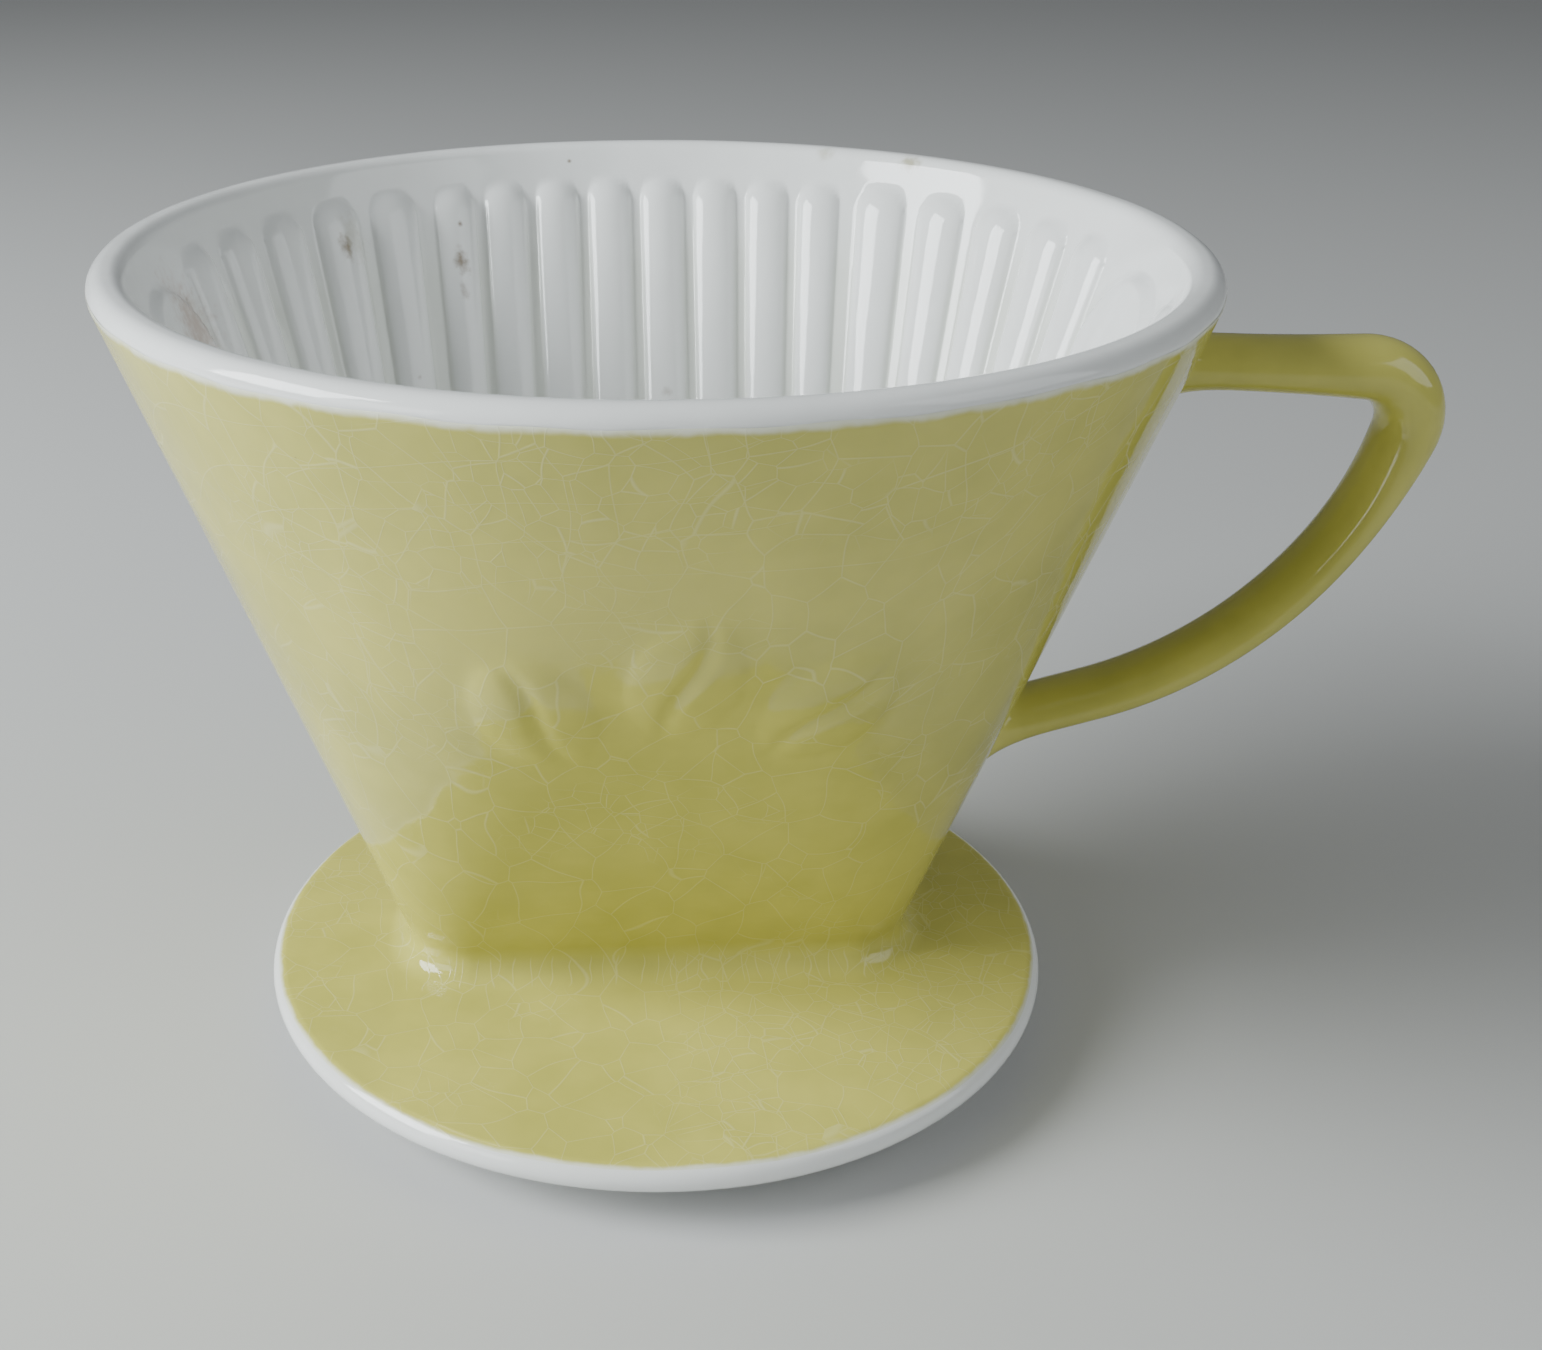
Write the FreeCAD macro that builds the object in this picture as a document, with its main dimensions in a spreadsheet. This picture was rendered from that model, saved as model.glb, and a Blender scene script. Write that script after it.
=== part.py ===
"""Pour-over coffee dripper in glazed porcelain, for a wedge-shaped paper filter.

The row frame stands on the centring ring: the origin is the middle of the ring's lower
face, +Z is up, +X points along the long side of the outlet slot to the handle, and -Y is
the front.  Lengths are in millimetres.

The piece is fired from clay parts that a potter joins with slip.  A cast funnel goes from a
rounded slot at the foot to a round rim; a round saucer carries it on the pot; a ring under
the saucer centres it in the pot's mouth; a pulled handle is stuck to the right side.  The
white body shows inside, on the rim and on the saucer's edge.  A yellow glaze coat covers
the rest, and each part's coat is a solid of its own.
"""
import FreeCAD
import Part
import Sketcher
import math
import os

# Driving dimensions: alias, value, what it measures.
DIMENSIONS = [
    ("total_height", 100.0, "ring's lower face to the top of the rim"),
    ("rim_radius", 63.0, "outline of the rim before its edge is rounded"),
    ("rim_flat", 0.5, "half length of the straight pieces left in the rim's outline"),
    ("wall_inset", 4.6, "outer to inner wall, measured level"),
    ("lip_round", 1.95, "rounding of the rim, outside and inside"),
    ("slot_half_length", 31.0, "foot of the funnel along X, outside"),
    ("slot_half_width", 9.5, "foot of the funnel along Y, outside"),
    ("slot_corner", 6.5, "corner radius of the foot, outside"),
    ("cavity_corner", 3.5, "corner radius of the floor"),
    ("floor_round", 2.0, "rounding between the floor and the inner wall"),
    ("floor_thickness", 4.3, "floor above the saucer's lower face"),
    ("foot_fillet", 3.0, "fillet between the wall and the saucer"),
    ("land_reach", 6.0, "level land round the foot, which the fillet runs out on"),
    ("land_thickness", 0.9, "land let into the saucer, coat included"),
    ("glaze", 0.4, "thickness of the yellow coat"),
    ("glaze_stop", 98.1, "height where the yellow coat ends below the rim"),
    ("ring_height", 5.5, "saucer's lower face above the origin"),
    ("ring_radius", 29.0, "outside of the centring ring"),
    ("ring_width", 3.6, "radial width of the centring ring"),
    ("ring_round", 1.0, "rounding of the ring's lower edges"),
    ("notch_width", 7.0, "each vent notch in the ring"),
    ("notch_depth", 3.0, "each vent notch, upwards from the ring's lower face"),
    ("saucer_radius", 50.0, "outside of the saucer"),
    ("saucer_thickness", 3.8, "saucer plate"),
    ("saucer_round", 1.85, "rounding of the saucer's edge"),
    ("outlet_radius", 1.75, "each drip hole"),
    ("outlet_pitch", 12.0, "between drip holes"),
    ("rib_top", 93.0, "height of the ribs' upper ends"),
    ("rib_radius", 2.2, "rib at its upper end"),
    ("rib_foot_radius", 1.0, "rib at the floor"),
    ("rib_sink", 0.8, "rib's axis behind the inner wall"),
    ("rib_pitch_middle", 7.3, "between ribs in the middle of a long side"),
    ("rib_pitch_fan", 9.2, "between ribs that fan out to the corners"),
    ("pad_half_width", 11.0, "wide rib at each end, at its upper end"),
    ("pad_foot_half_width", 3.0, "wide rib at the floor"),
    ("pad_height", 1.0, "wide rib above the wall"),
    ("pad_rise", 9.0, "straight sides of the wide rib end this far below the ribs' ends"),
    ("rib_steps", 10.2, "rib pitches from the middle of a long side to the middle of an end"),
    ("rib_crowding", 2.35, "power by which the ribs' feet crowd towards the ends of the floor"),
    ("rib_foot_span", 29.8, "a quarter of the floor's outline, which the ribs' feet share"),
    ("strut_start", 52.0, "x where the handle's axis starts, inside the wall"),
    ("strut_height", 85.5, "height of the handle's axis at its start"),
    ("strut_slope", 2.9, "fall of the strut, degrees"),
    ("strut_length", 31.9, "strut, from its start to the bend"),
    ("bend_radius", 6.5, "axis of the bend at the top of the handle"),
    ("bend_turn", 104.0, "turn of the bend, degrees"),
    ("bow_radius", 50.0, "axis of the bow"),
    ("bow_turn", 58.1, "turn of the bow, degrees"),
    ("tail_length", 18.0, "straight end of the handle, into the wall"),
    ("strut_thickness", 6.3, "handle across its strut"),
    ("bend_thickness", 7.9, "handle across its bend"),
    ("bow_thickness", 5.7, "handle across its bow"),
    ("handle_width", 10.0, "handle along Y"),
    ("handle_step", 3.2, "between the sections that shape the handle"),
    ("root_flare", 4.0, "extra thickness and width where the handle meets the wall"),
    ("flare_reach", 3.2, "distance over which a flare dies away"),
]
RIBS_MIDDLE = 4        # parallel ribs on each quarter of the wall
RIBS_FAN = 5           # ribs on each quarter that fan out to a corner
OUTLETS = 4
NOTCHES = 4

doc = FreeCAD.newDocument("pour_over_dripper")
sheet = doc.addObject("Spreadsheet::Sheet", "dims")
for row, (alias, value, meaning) in enumerate(DIMENSIONS, start=1):
    sheet.set(f"A{row}", str(value))
    sheet.setAlias(f"A{row}", alias)
    sheet.set(f"B{row}", meaning)
doc.recompute()


def dim(alias):
    """The value of one driving dimension."""
    return float(getattr(sheet, alias))


def body_named(name):
    body = doc.addObject("PartDesign::Body", name)
    body.Label = name
    return body


def sketch_on(body, name, role, level="0"):
    """A sketch on one of the body's own origin planes, raised by an expression."""
    sketch = body.newObject("Sketcher::SketchObject", name)
    plane = next(f for f in body.Origin.OriginFeatures if f.Role == role)
    sketch.AttachmentSupport = [(plane, "")]
    sketch.MapMode = "FlatFace"
    sketch.setExpression("AttachmentOffset.Base.z", level)
    return sketch


def rounded_rectangle(body, name, level, half_x, half_y, corner):
    """A level sketch of a rounded rectangle round the Z axis; sizes are expressions."""
    sketch = sketch_on(body, name, "XY_Plane", level)
    hx, hy, rc = (float(sheet.evalExpression(e)) for e in (half_x, half_y, corner))
    vec = FreeCAD.Vector
    add = sketch.addGeometry
    bottom = add(Part.LineSegment(vec(rc - hx, -hy, 0), vec(hx - rc, -hy, 0)))
    right = add(Part.LineSegment(vec(hx, rc - hy, 0), vec(hx, hy - rc, 0)))
    top = add(Part.LineSegment(vec(hx - rc, hy, 0), vec(rc - hx, hy, 0)))
    left = add(Part.LineSegment(vec(-hx, hy - rc, 0), vec(-hx, rc - hy, 0)))
    arcs = []
    for sx, sy, start in ((1, -1, 270), (1, 1, 0), (-1, 1, 90), (-1, -1, 180)):
        circle = Part.Circle(vec(sx * (hx - rc), sy * (hy - rc), 0), vec(0, 0, 1), rc)
        a = math.radians(start)
        arcs.append(add(Part.ArcOfCircle(circle, a, a + math.pi / 2)))
    con = Sketcher.Constraint
    sides = [bottom, right, top, left]
    for k in range(4):
        sketch.addConstraint(con("Tangent", sides[k], 2, arcs[k], 1))
        sketch.addConstraint(con("Tangent", arcs[k], 2, sides[(k + 1) % 4], 1))
    sketch.addConstraint(con("Horizontal", bottom))
    sketch.addConstraint(con("Vertical", right))
    for k in range(1, 4):
        sketch.addConstraint(con("Equal", arcs[0], arcs[k]))
    sketch.addConstraint(con("Symmetric", bottom, 1, top, 1, -1, 1))
    for kind, value, words in (
        (con("DistanceX", -1, 1, right, 1, hx), half_x, "half_x"),
        (con("DistanceY", -1, 1, top, 1, hy), half_y, "half_y"),
        (con("Radius", arcs[0], rc), corner, "corner"),
    ):
        index = sketch.addConstraint(kind)
        sketch.renameConstraint(index, words)
        sketch.setExpression(f"Constraints.{words}", value)
    return sketch


def pad(body, name, profile, length):
    feature = body.newObject("PartDesign::Pad", name)
    feature.Profile = profile
    feature.setExpression("Length", length)
    return feature


def loft(body, name, lower, upper, kind="PartDesign::AdditiveLoft"):
    """A ruled loft: flat on the straight sides and conical on the corners."""
    feature = body.newObject(kind, name)
    feature.Profile = (lower, [""])
    feature.Sections = [(upper, [""])]
    feature.Ruled = True
    return feature


def edges_at(shape, height, half_x=1e3, half_y=1e3):
    """The names of the edges that lie at a height, inside a rectangle round the Z axis."""
    names = []
    for k, edge in enumerate(shape.Edges, start=1):
        if all(abs(p.z - height) < 1e-3 and abs(p.x) < half_x and abs(p.y) < half_y
               for p in edge.discretize(7)):
            names.append(f"Edge{k}")
    return names


FOOT_LEVEL = "dims.ring_height + dims.saucer_thickness"
FLOOR_LEVEL = "dims.ring_height + dims.floor_thickness"
GLAZE_LEVEL = f"{FOOT_LEVEL} - dims.glaze"


def level_of(expression):
    """The value of a height that is written as an expression."""
    return float(sheet.evalExpression(expression))


def fillet(body, name, base, edges, radius):
    feature = body.newObject("PartDesign::Fillet", name)
    feature.Base = (base, edges)
    feature.setExpression("Radius", radius)
    return feature


def wall_form(name, inset):
    """The funnel's outside as a full solid, with its land and foot fillet, drawn in by inset."""
    body = body_named(name)
    level = f"{FOOT_LEVEL} - {inset}"
    reach = "dims.land_reach"
    land = rounded_rectangle(
        body, f"{name}_land_outline", f"{FOOT_LEVEL} - dims.land_thickness",
        f"dims.slot_half_length + {reach}", f"dims.slot_half_width + {reach}",
        f"dims.slot_corner + {reach}")
    pad(body, f"{name}_land", land, f"dims.land_thickness - {inset}")
    lower = rounded_rectangle(
        body, f"{name}_foot_outline", level, f"dims.slot_half_length - {inset}",
        f"dims.slot_half_width - {inset}", f"dims.slot_corner - {inset}")
    upper = rounded_rectangle(
        body, f"{name}_rim_outline", "dims.total_height", f"dims.rim_radius - {inset}",
        f"dims.rim_radius - {inset}", f"dims.rim_radius - {inset} - dims.rim_flat")
    wall = loft(body, f"{name}_wall", lower, upper)
    doc.recompute()
    seam = edges_at(wall.Shape, level_of(level), dim("slot_half_length") + 0.5,
                    dim("slot_half_width") + 0.5)
    fillet(body, f"{name}_foot_fillet", wall, seam, f"dims.foot_fillet + {inset}")
    return body


def cavity_loft(body, name, kind, inset, lower_level):
    """The funnel's inside as a ruled loft, drawn in from the inner wall by inset."""
    inner = f"dims.wall_inset - {inset}"
    lower = rounded_rectangle(
        body, f"{name}_floor_outline", lower_level, f"dims.slot_half_length - ({inner})",
        f"dims.slot_half_width - ({inner})", f"dims.cavity_corner + {inset}")
    upper = rounded_rectangle(
        body, f"{name}_mouth_outline", "dims.total_height", f"dims.rim_radius - ({inner})",
        f"dims.rim_radius - ({inner})", f"dims.rim_radius - ({inner}) - dims.rim_flat")
    return loft(body, name, lower, upper, kind)


def funnel_form():
    """The funnel without its ribs and drip holes: wall form, plug, cavity and rounded lip."""
    body = wall_form("funnel_form", "0")
    plug = rounded_rectangle(
        body, "plug_outline", "dims.ring_height", "dims.slot_half_length",
        "dims.slot_half_width", "dims.slot_corner")
    pad(body, "plug", plug, "dims.saucer_thickness")
    cavity = cavity_loft(body, "cavity", "PartDesign::SubtractiveLoft", "0", FLOOR_LEVEL)
    doc.recompute()
    floor = edges_at(cavity.Shape, level_of(FLOOR_LEVEL))
    floor_fillet = fillet(body, "floor_fillet", cavity, floor, "dims.floor_round")
    doc.recompute()
    lip = edges_at(floor_fillet.Shape, dim("total_height"))
    fillet(body, "lip_fillet", floor_fillet, lip, "dims.lip_round")
    doc.recompute()
    return body


def boolean(kind, name, *items):
    """A Part boolean: Cut and Common take two items, MultiFuse any number."""
    feature = doc.addObject(f"Part::{kind}", name)
    if kind == "MultiFuse":
        feature.Shapes = list(items)
    else:
        feature.Base, feature.Tool = items
    feature.Label = name
    return feature


def wall_place(height, distance):
    """A point of the inner wall, at a height and a distance along it from the x = 0 plane.

    The section of the cavity at that height is a rounded rectangle.  Returns x, y and the
    outward normal for the quarter where both are positive.
    """
    floor = level_of(FLOOR_LEVEL)
    part = (height - floor) / (dim("total_height") - floor)
    half_x = dim("slot_half_length") * (1 - part) + dim("rim_radius") * part - dim("wall_inset")
    half_y = dim("slot_half_width") * (1 - part) + dim("rim_radius") * part - dim("wall_inset")
    rim_corner = dim("rim_radius") - dim("wall_inset") - dim("rim_flat")
    corner = dim("cavity_corner") * (1 - part) + rim_corner * part
    along = distance - (half_x - corner)
    if along <= 0:
        return distance, half_y, 0.0, 1.0
    turn = min(along / corner, math.pi / 2)
    x = half_x - corner + corner * math.sin(turn)
    y = half_y - corner + corner * math.cos(turn) - max(0.0, along - corner * math.pi / 2)
    return x, y, math.sin(turn), math.cos(turn)


def rib_ends(index):
    """The ends of one rib's axis in the quarter where x and y are positive."""
    middle = min(index, RIBS_MIDDLE - 1)
    top_distance = dim("rib_pitch_middle") * (middle + 0.5)
    top_distance += dim("rib_pitch_fan") * max(0, index - middle)
    share = (index + 0.5) / dim("rib_steps")
    foot_distance = dim("rib_foot_span") * (1 - (1 - share) ** dim("rib_crowding"))
    ends = []
    for height, distance in ((level_of(FLOOR_LEVEL), foot_distance),
                             (dim("rib_top"), top_distance)):
        x, y, normal_x, normal_y = wall_place(height, distance)
        sink = dim("rib_sink")
        ends.append(FreeCAD.Vector(x + sink * normal_x, y + sink * normal_y, height))
    return ends


def rib(name, foot, top):
    """A half-sunk rib with a round upper end: a cone and a sphere."""
    axis = top - foot
    turned = FreeCAD.Rotation(FreeCAD.Vector(0, 0, 1), axis)
    cone = doc.addObject("Part::Cone", f"{name}_bar")
    cone.setExpression("Radius1", "dims.rib_foot_radius")
    cone.setExpression("Radius2", "dims.rib_radius")
    cone.Height = axis.Length
    cone.Placement = FreeCAD.Placement(foot, turned)
    end = doc.addObject("Part::Sphere", f"{name}_end")
    end.setExpression("Radius", "dims.rib_radius")
    end.Placement = FreeCAD.Placement(top, turned)
    return [cone, end]


def ribs():
    """Every rib: each quarter of the wall mirrors the first one."""
    solids = []
    for index in range(RIBS_MIDDLE + RIBS_FAN):
        foot, top = rib_ends(index)
        for side_x in (1, -1):
            for side_y in (1, -1):
                ends = [FreeCAD.Vector(p.x * side_x, p.y * side_y, p.z) for p in (foot, top)]
                quarter = ("right" if side_x > 0 else "left") + ("back" if side_y > 0 else "front")
                solids += rib(f"rib_{quarter}_{index + 1}", *ends)
    return solids


def end_pads():
    """The wide rib at each end of the funnel, cut from the inner wall's own shape."""
    outline = body_named("pad_outline")
    sketch = sketch_on(outline, "pad_arch", "YZ_Plane", "0")
    wide = dim("pad_half_width")
    narrow = dim("pad_foot_half_width")
    low = level_of(FLOOR_LEVEL)
    spring = dim("rib_top") - dim("pad_rise")
    crown = dim("rib_top") + dim("rib_radius")
    vec = FreeCAD.Vector
    corners = [vec(-wide, spring, 0), vec(-narrow, low, 0), vec(narrow, low, 0), vec(wide, spring, 0)]
    for start, end in zip(corners, corners[1:]):
        sketch.addGeometry(Part.LineSegment(start, end))
    sketch.addGeometry(Part.Arc(corners[3], vec(0, crown, 0), corners[0]))
    con = Sketcher.Constraint
    for k in range(4):
        sketch.addConstraint(con("Coincident", k, 2, (k + 1) % 4, 1))
    sketch.addConstraint(con("Symmetric", 0, 1, 2, 2, -2))
    sketch.addConstraint(con("Symmetric", 1, 1, 1, 2, -2))
    rise = "(dims.pad_rise + dims.rib_radius)"
    bend = f"(dims.pad_half_width ^ 2 + {rise} ^ 2) / (2 * {rise})"
    for kind, value, words in (
        (con("DistanceX", -1, 1, 2, 2, wide), "dims.pad_half_width", "wide"),
        (con("DistanceX", -1, 1, 1, 2, narrow), "dims.pad_foot_half_width", "narrow"),
        (con("DistanceY", -1, 1, 2, 2, spring), "dims.rib_top - dims.pad_rise", "spring"),
        (con("DistanceY", -1, 1, 1, 2, low), FLOOR_LEVEL, "low"),
        (con("Radius", 3, level_of(bend)), bend, "bend"),
    ):
        index = sketch.addConstraint(kind)
        sketch.renameConstraint(index, words)
        sketch.setExpression(f"Constraints.{words}", value)
    prism = outline.newObject("PartDesign::Pad", "pad_prism")
    prism.Profile = sketch
    prism.setExpression("Length", "2 * dims.rim_radius")
    prism.SideType = "Symmetric"
    sunk = body_named("pad_sunk_form")
    cavity_loft(sunk, "pad_sunk_loft", "PartDesign::AdditiveLoft", "dims.rib_sink", FLOOR_LEVEL)
    proud = body_named("pad_proud_form")
    cavity_loft(proud, "pad_proud_loft", "PartDesign::AdditiveLoft", "-dims.pad_height", FLOOR_LEVEL)
    return boolean("Cut", "end_pads", boolean("Common", "pad_block", outline, sunk), proud)


def drip_holes():
    """The row of drip holes through the floor."""
    holes = []
    for index in range(OUTLETS):
        hole = doc.addObject("Part::Cylinder", f"drip_hole_{index + 1}")
        hole.setExpression("Radius", "dims.outlet_radius")
        hole.setExpression("Height", "dims.floor_thickness + 2 * dims.floor_round")
        step = index - (OUTLETS - 1) / 2
        hole.setExpression("Placement.Base.x", f"{step} * dims.outlet_pitch")
        hole.setExpression("Placement.Base.z", "dims.ring_height - dims.floor_round")
        holes.append(hole)
    return boolean("MultiFuse", "drip_holes", *holes)


def coat_zone():
    """The heights that the yellow coat covers."""
    zone = doc.addObject("Part::Cylinder", "coat_zone")
    zone.setExpression("Radius", "2 * dims.rim_radius")
    zone.setExpression("Height", f"dims.glaze_stop - ({GLAZE_LEVEL})")
    zone.setExpression("Placement.Base.z", GLAZE_LEVEL)
    return zone


def saucer_form():
    """The whole saucer plate with its round edge, before anything is let into it."""
    body = body_named("saucer_form")
    sketch = sketch_on(body, "saucer_outline", "XY_Plane", "dims.ring_height")
    sketch.addGeometry(Part.Circle(FreeCAD.Vector(0, 0, 0), FreeCAD.Vector(0, 0, 1),
                                   dim("saucer_radius")))
    sketch.addConstraint(Sketcher.Constraint("Coincident", 0, 3, -1, 1))
    radius = sketch.addConstraint(Sketcher.Constraint("Radius", 0, dim("saucer_radius")))
    sketch.renameConstraint(radius, "radius")
    sketch.setExpression("Constraints.radius", "dims.saucer_radius")
    plate = pad(body, "saucer_plate", sketch, "dims.saucer_thickness")
    doc.recompute()
    edges = edges_at(plate.Shape, dim("ring_height")) + edges_at(plate.Shape, level_of(FOOT_LEVEL))
    fillet(body, "saucer_edge", plate, edges, "dims.saucer_round")
    return body


def centring_ring():
    """The ring under the saucer, with round lower edges and vent notches."""
    body = body_named("centring_ring")
    sketch = sketch_on(body, "ring_outline", "XY_Plane", "0")
    radii = (("outer", "dims.ring_radius"), ("inner", "dims.ring_radius - dims.ring_width"))
    for k, (words, size) in enumerate(radii):
        value = level_of(size)
        sketch.addGeometry(Part.Circle(FreeCAD.Vector(0, 0, 0), FreeCAD.Vector(0, 0, 1), value))
        sketch.addConstraint(Sketcher.Constraint("Coincident", k, 3, -1, 1))
        index = sketch.addConstraint(Sketcher.Constraint("Radius", k, value))
        sketch.renameConstraint(index, words)
        sketch.setExpression(f"Constraints.{words}", size)
    wall = pad(body, "ring_wall", sketch, "dims.ring_height")
    doc.recompute()
    rounded = fillet(body, "ring_edge", wall, edges_at(wall.Shape, 0.0), "dims.ring_round")
    doc.recompute()
    full_volume = rounded.Shape.Volume
    notch = sketch_on(body, "notch_outline", "YZ_Plane", "0")
    half = dim("notch_width") / 2
    depth = dim("notch_depth")
    vec = FreeCAD.Vector
    corners = [vec(-half, -1, 0), vec(half, -1, 0), vec(half, depth, 0), vec(-half, depth, 0)]
    for k in range(4):
        notch.addGeometry(Part.LineSegment(corners[k], corners[(k + 1) % 4]))
    for k in range(4):
        notch.addConstraint(Sketcher.Constraint("Coincident", k, 2, (k + 1) % 4, 1))
        notch.addConstraint(Sketcher.Constraint("Horizontal" if k % 2 == 0 else "Vertical", k))
    for kind, value, words in (
        (Sketcher.Constraint("DistanceX", -1, 1, 1, 1, half), "dims.notch_width / 2", "half_width"),
        (Sketcher.Constraint("DistanceX", 0, 1, 0, 2, 2 * half), "dims.notch_width", "width"),
        (Sketcher.Constraint("DistanceY", -1, 1, 2, 1, depth), "dims.notch_depth", "depth"),
        (Sketcher.Constraint("DistanceY", 0, 1, -1, 1, 1.0), "dims.ring_round", "below"),
    ):
        index = notch.addConstraint(kind)
        notch.renameConstraint(index, words)
        notch.setExpression(f"Constraints.{words}", value)
    pocket = body.newObject("PartDesign::Pocket", "notch")
    pocket.Profile = notch
    pocket.Reversed = True
    pocket.setExpression("Length", "dims.ring_radius + dims.ring_width")
    doc.recompute()
    pattern = body.newObject("PartDesign::PolarPattern", "notches")
    pattern.Originals = [pocket]
    axis = next(f for f in body.Origin.OriginFeatures if f.Role == "Z_Axis")
    pattern.Axis = (axis, [""])
    pattern.Occurrences = NOTCHES
    pattern.Angle = 360
    body.Tip = pattern
    doc.recompute()
    removed = full_volume - body.Shape.Volume
    if removed < NOTCHES * dim("notch_width") * dim("ring_width") * dim("notch_depth") / 2:
        raise RuntimeError("the ring's notches didn't cut")
    body.Placement = FreeCAD.Placement(vec(0, 0, 0), FreeCAD.Rotation(vec(0, 0, 1), 45))
    return body


def handle_path():
    """Stations along the handle's axis in the y = 0 plane: x, z, heading and way gone.

    A short strut runs out from the wall, a tight bend turns it down, and a long bow brings it
    back to the wall.
    """
    heading = -math.radians(dim("strut_slope"))
    x = dim("strut_start")
    z = dim("strut_height")
    gone = 0.0
    stations = [(x, z, heading, gone)]
    for size, turn in ((dim("strut_length"), 0.0),
                       (dim("bend_radius"), math.radians(dim("bend_turn"))),
                       (dim("bow_radius"), math.radians(dim("bow_turn"))),
                       (dim("tail_length"), 0.0)):
        length = size * turn if turn else size
        steps = round(length / dim("handle_step"))
        for _ in range(steps):
            part = turn / steps
            chord = 2 * size * math.sin(part / 2) if turn else length / steps
            x += chord * math.cos(heading - part / 2)
            z += chord * math.sin(heading - part / 2)
            heading -= part
            gone += length / steps
            stations.append((x, z, heading, gone))
    return stations


def clear_of_wall(x, z):
    """The level distance from a point in the y = 0 plane to the outside of the wall."""
    part = (z - level_of(FOOT_LEVEL)) / (dim("total_height") - level_of(FOOT_LEVEL))
    return x - dim("slot_half_length") * (1 - part) - dim("rim_radius") * part


def handle_form(name, inset):
    """The handle as a smooth loft of ellipses, thick in the bend and flared at the wall."""
    bend_length = dim("bend_radius") * math.radians(dim("bend_turn"))
    bend_middle = dim("strut_length") + bend_length / 2
    sections = []
    for index, (x, z, heading, gone) in enumerate(handle_path()):
        past_bend = 1 / (1 + math.exp((bend_middle - gone) / 3))
        in_bend = math.exp(-((gone - bend_middle) / bend_length) ** 2)
        flare = math.exp(-max(0.0, clear_of_wall(x, z) + 1) / dim("flare_reach"))
        plain = f"dims.strut_thickness * {1 - past_bend} + dims.bow_thickness * {past_bend}"
        thick = f"({plain}) * {1 - in_bend} + dims.bend_thickness * {in_bend}"
        half_thick = f"({thick} + dims.root_flare * {flare}) / 2 - {inset}"
        half_wide = f"(dims.handle_width + dims.root_flare * {flare}) / 2 - {inset}"
        ellipse = doc.addObject("Part::Ellipse", f"{name}_section_{index + 1}")
        ellipse.setExpression("MajorRadius", half_wide)
        ellipse.setExpression("MinorRadius", half_thick)
        across = FreeCAD.Vector(-math.sin(heading), 0, math.cos(heading))
        along = FreeCAD.Vector(math.cos(heading), 0, math.sin(heading))
        turned = FreeCAD.Rotation(FreeCAD.Vector(0, 1, 0), across, along, "XYZ")
        ellipse.Placement = FreeCAD.Placement(FreeCAD.Vector(x, 0, z), turned)
        sections.append(ellipse)
    form = doc.addObject("Part::Loft", name)
    form.Sections = sections
    form.Solid = True
    return form


funnel_blank = funnel_form()
core_form = wall_form("core_form", "dims.glaze")
zone = coat_zone()
saucer_blank = saucer_form()
ring = centring_ring()
handle_blank = handle_form("handle_form", "0")
handle_core = handle_form("handle_core", "dims.glaze")
doc.recompute()

funnel_coat = boolean("Cut", "funnel_coat", boolean("Common", "coated_wall", funnel_blank, zone),
                      core_form)
ribbed = boolean("MultiFuse", "ribbed_funnel", funnel_blank, end_pads(), *ribs())
funnel = boolean("Cut", "funnel", boolean("Cut", "bare_funnel", ribbed, funnel_coat), drip_holes())
funnel_glaze = boolean("Cut", "funnel_glaze", funnel_coat, handle_blank)
saucer_coat = boolean("Common", "saucer_coat", saucer_blank, zone)
saucer_glaze = boolean("Cut", "saucer_glaze", saucer_coat, funnel_blank)
bare_saucer = boolean("Cut", "bare_saucer", saucer_blank, saucer_coat)
saucer = boolean("Cut", "saucer", bare_saucer, funnel_blank)
handle_coat = boolean("Cut", "handle_coat", handle_blank, handle_core)
handle_glaze = boolean("Cut", "handle_glaze", handle_coat, core_form)
handle = boolean("Cut", "handle", handle_core, core_form)
doc.recompute()

NODES = [funnel, funnel_glaze, saucer, saucer_glaze, ring, handle, handle_glaze]
for item in doc.Objects:
    if "Invalid" in item.State or "Error" in item.State:
        raise RuntimeError(f"{item.Name} failed: {item.State}")
for node in NODES:
    if node.Shape.isNull() or not node.Shape.isValid():
        raise RuntimeError(f"{node.Label} has no valid shape")
    if len(node.Shape.Solids) != 1:
        raise RuntimeError(f"{node.Label} isn't one solid")
    box = node.Shape.BoundBox
    print(f"{node.Label:14s} volume {node.Shape.Volume:9.0f}  solids {len(node.Shape.Solids)}"
          f"  x {box.XMin:.2f} {box.XMax:.2f}  y {box.YMin:.2f} {box.YMax:.2f}"
          f"  z {box.ZMin:.2f} {box.ZMax:.2f}")

os.makedirs("parts", exist_ok=True)
for node in NODES:
    node.Shape.exportStep(f"parts/{node.Label}.step")
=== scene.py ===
"""Pour-over coffee dripper in glazed porcelain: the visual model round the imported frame.

Metres, in the frame's own axes: the origin is the middle of the centring ring's lower face,
+Z is up, +X runs along the outlet slot to the handle, and -Y is the front.
"""

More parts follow.
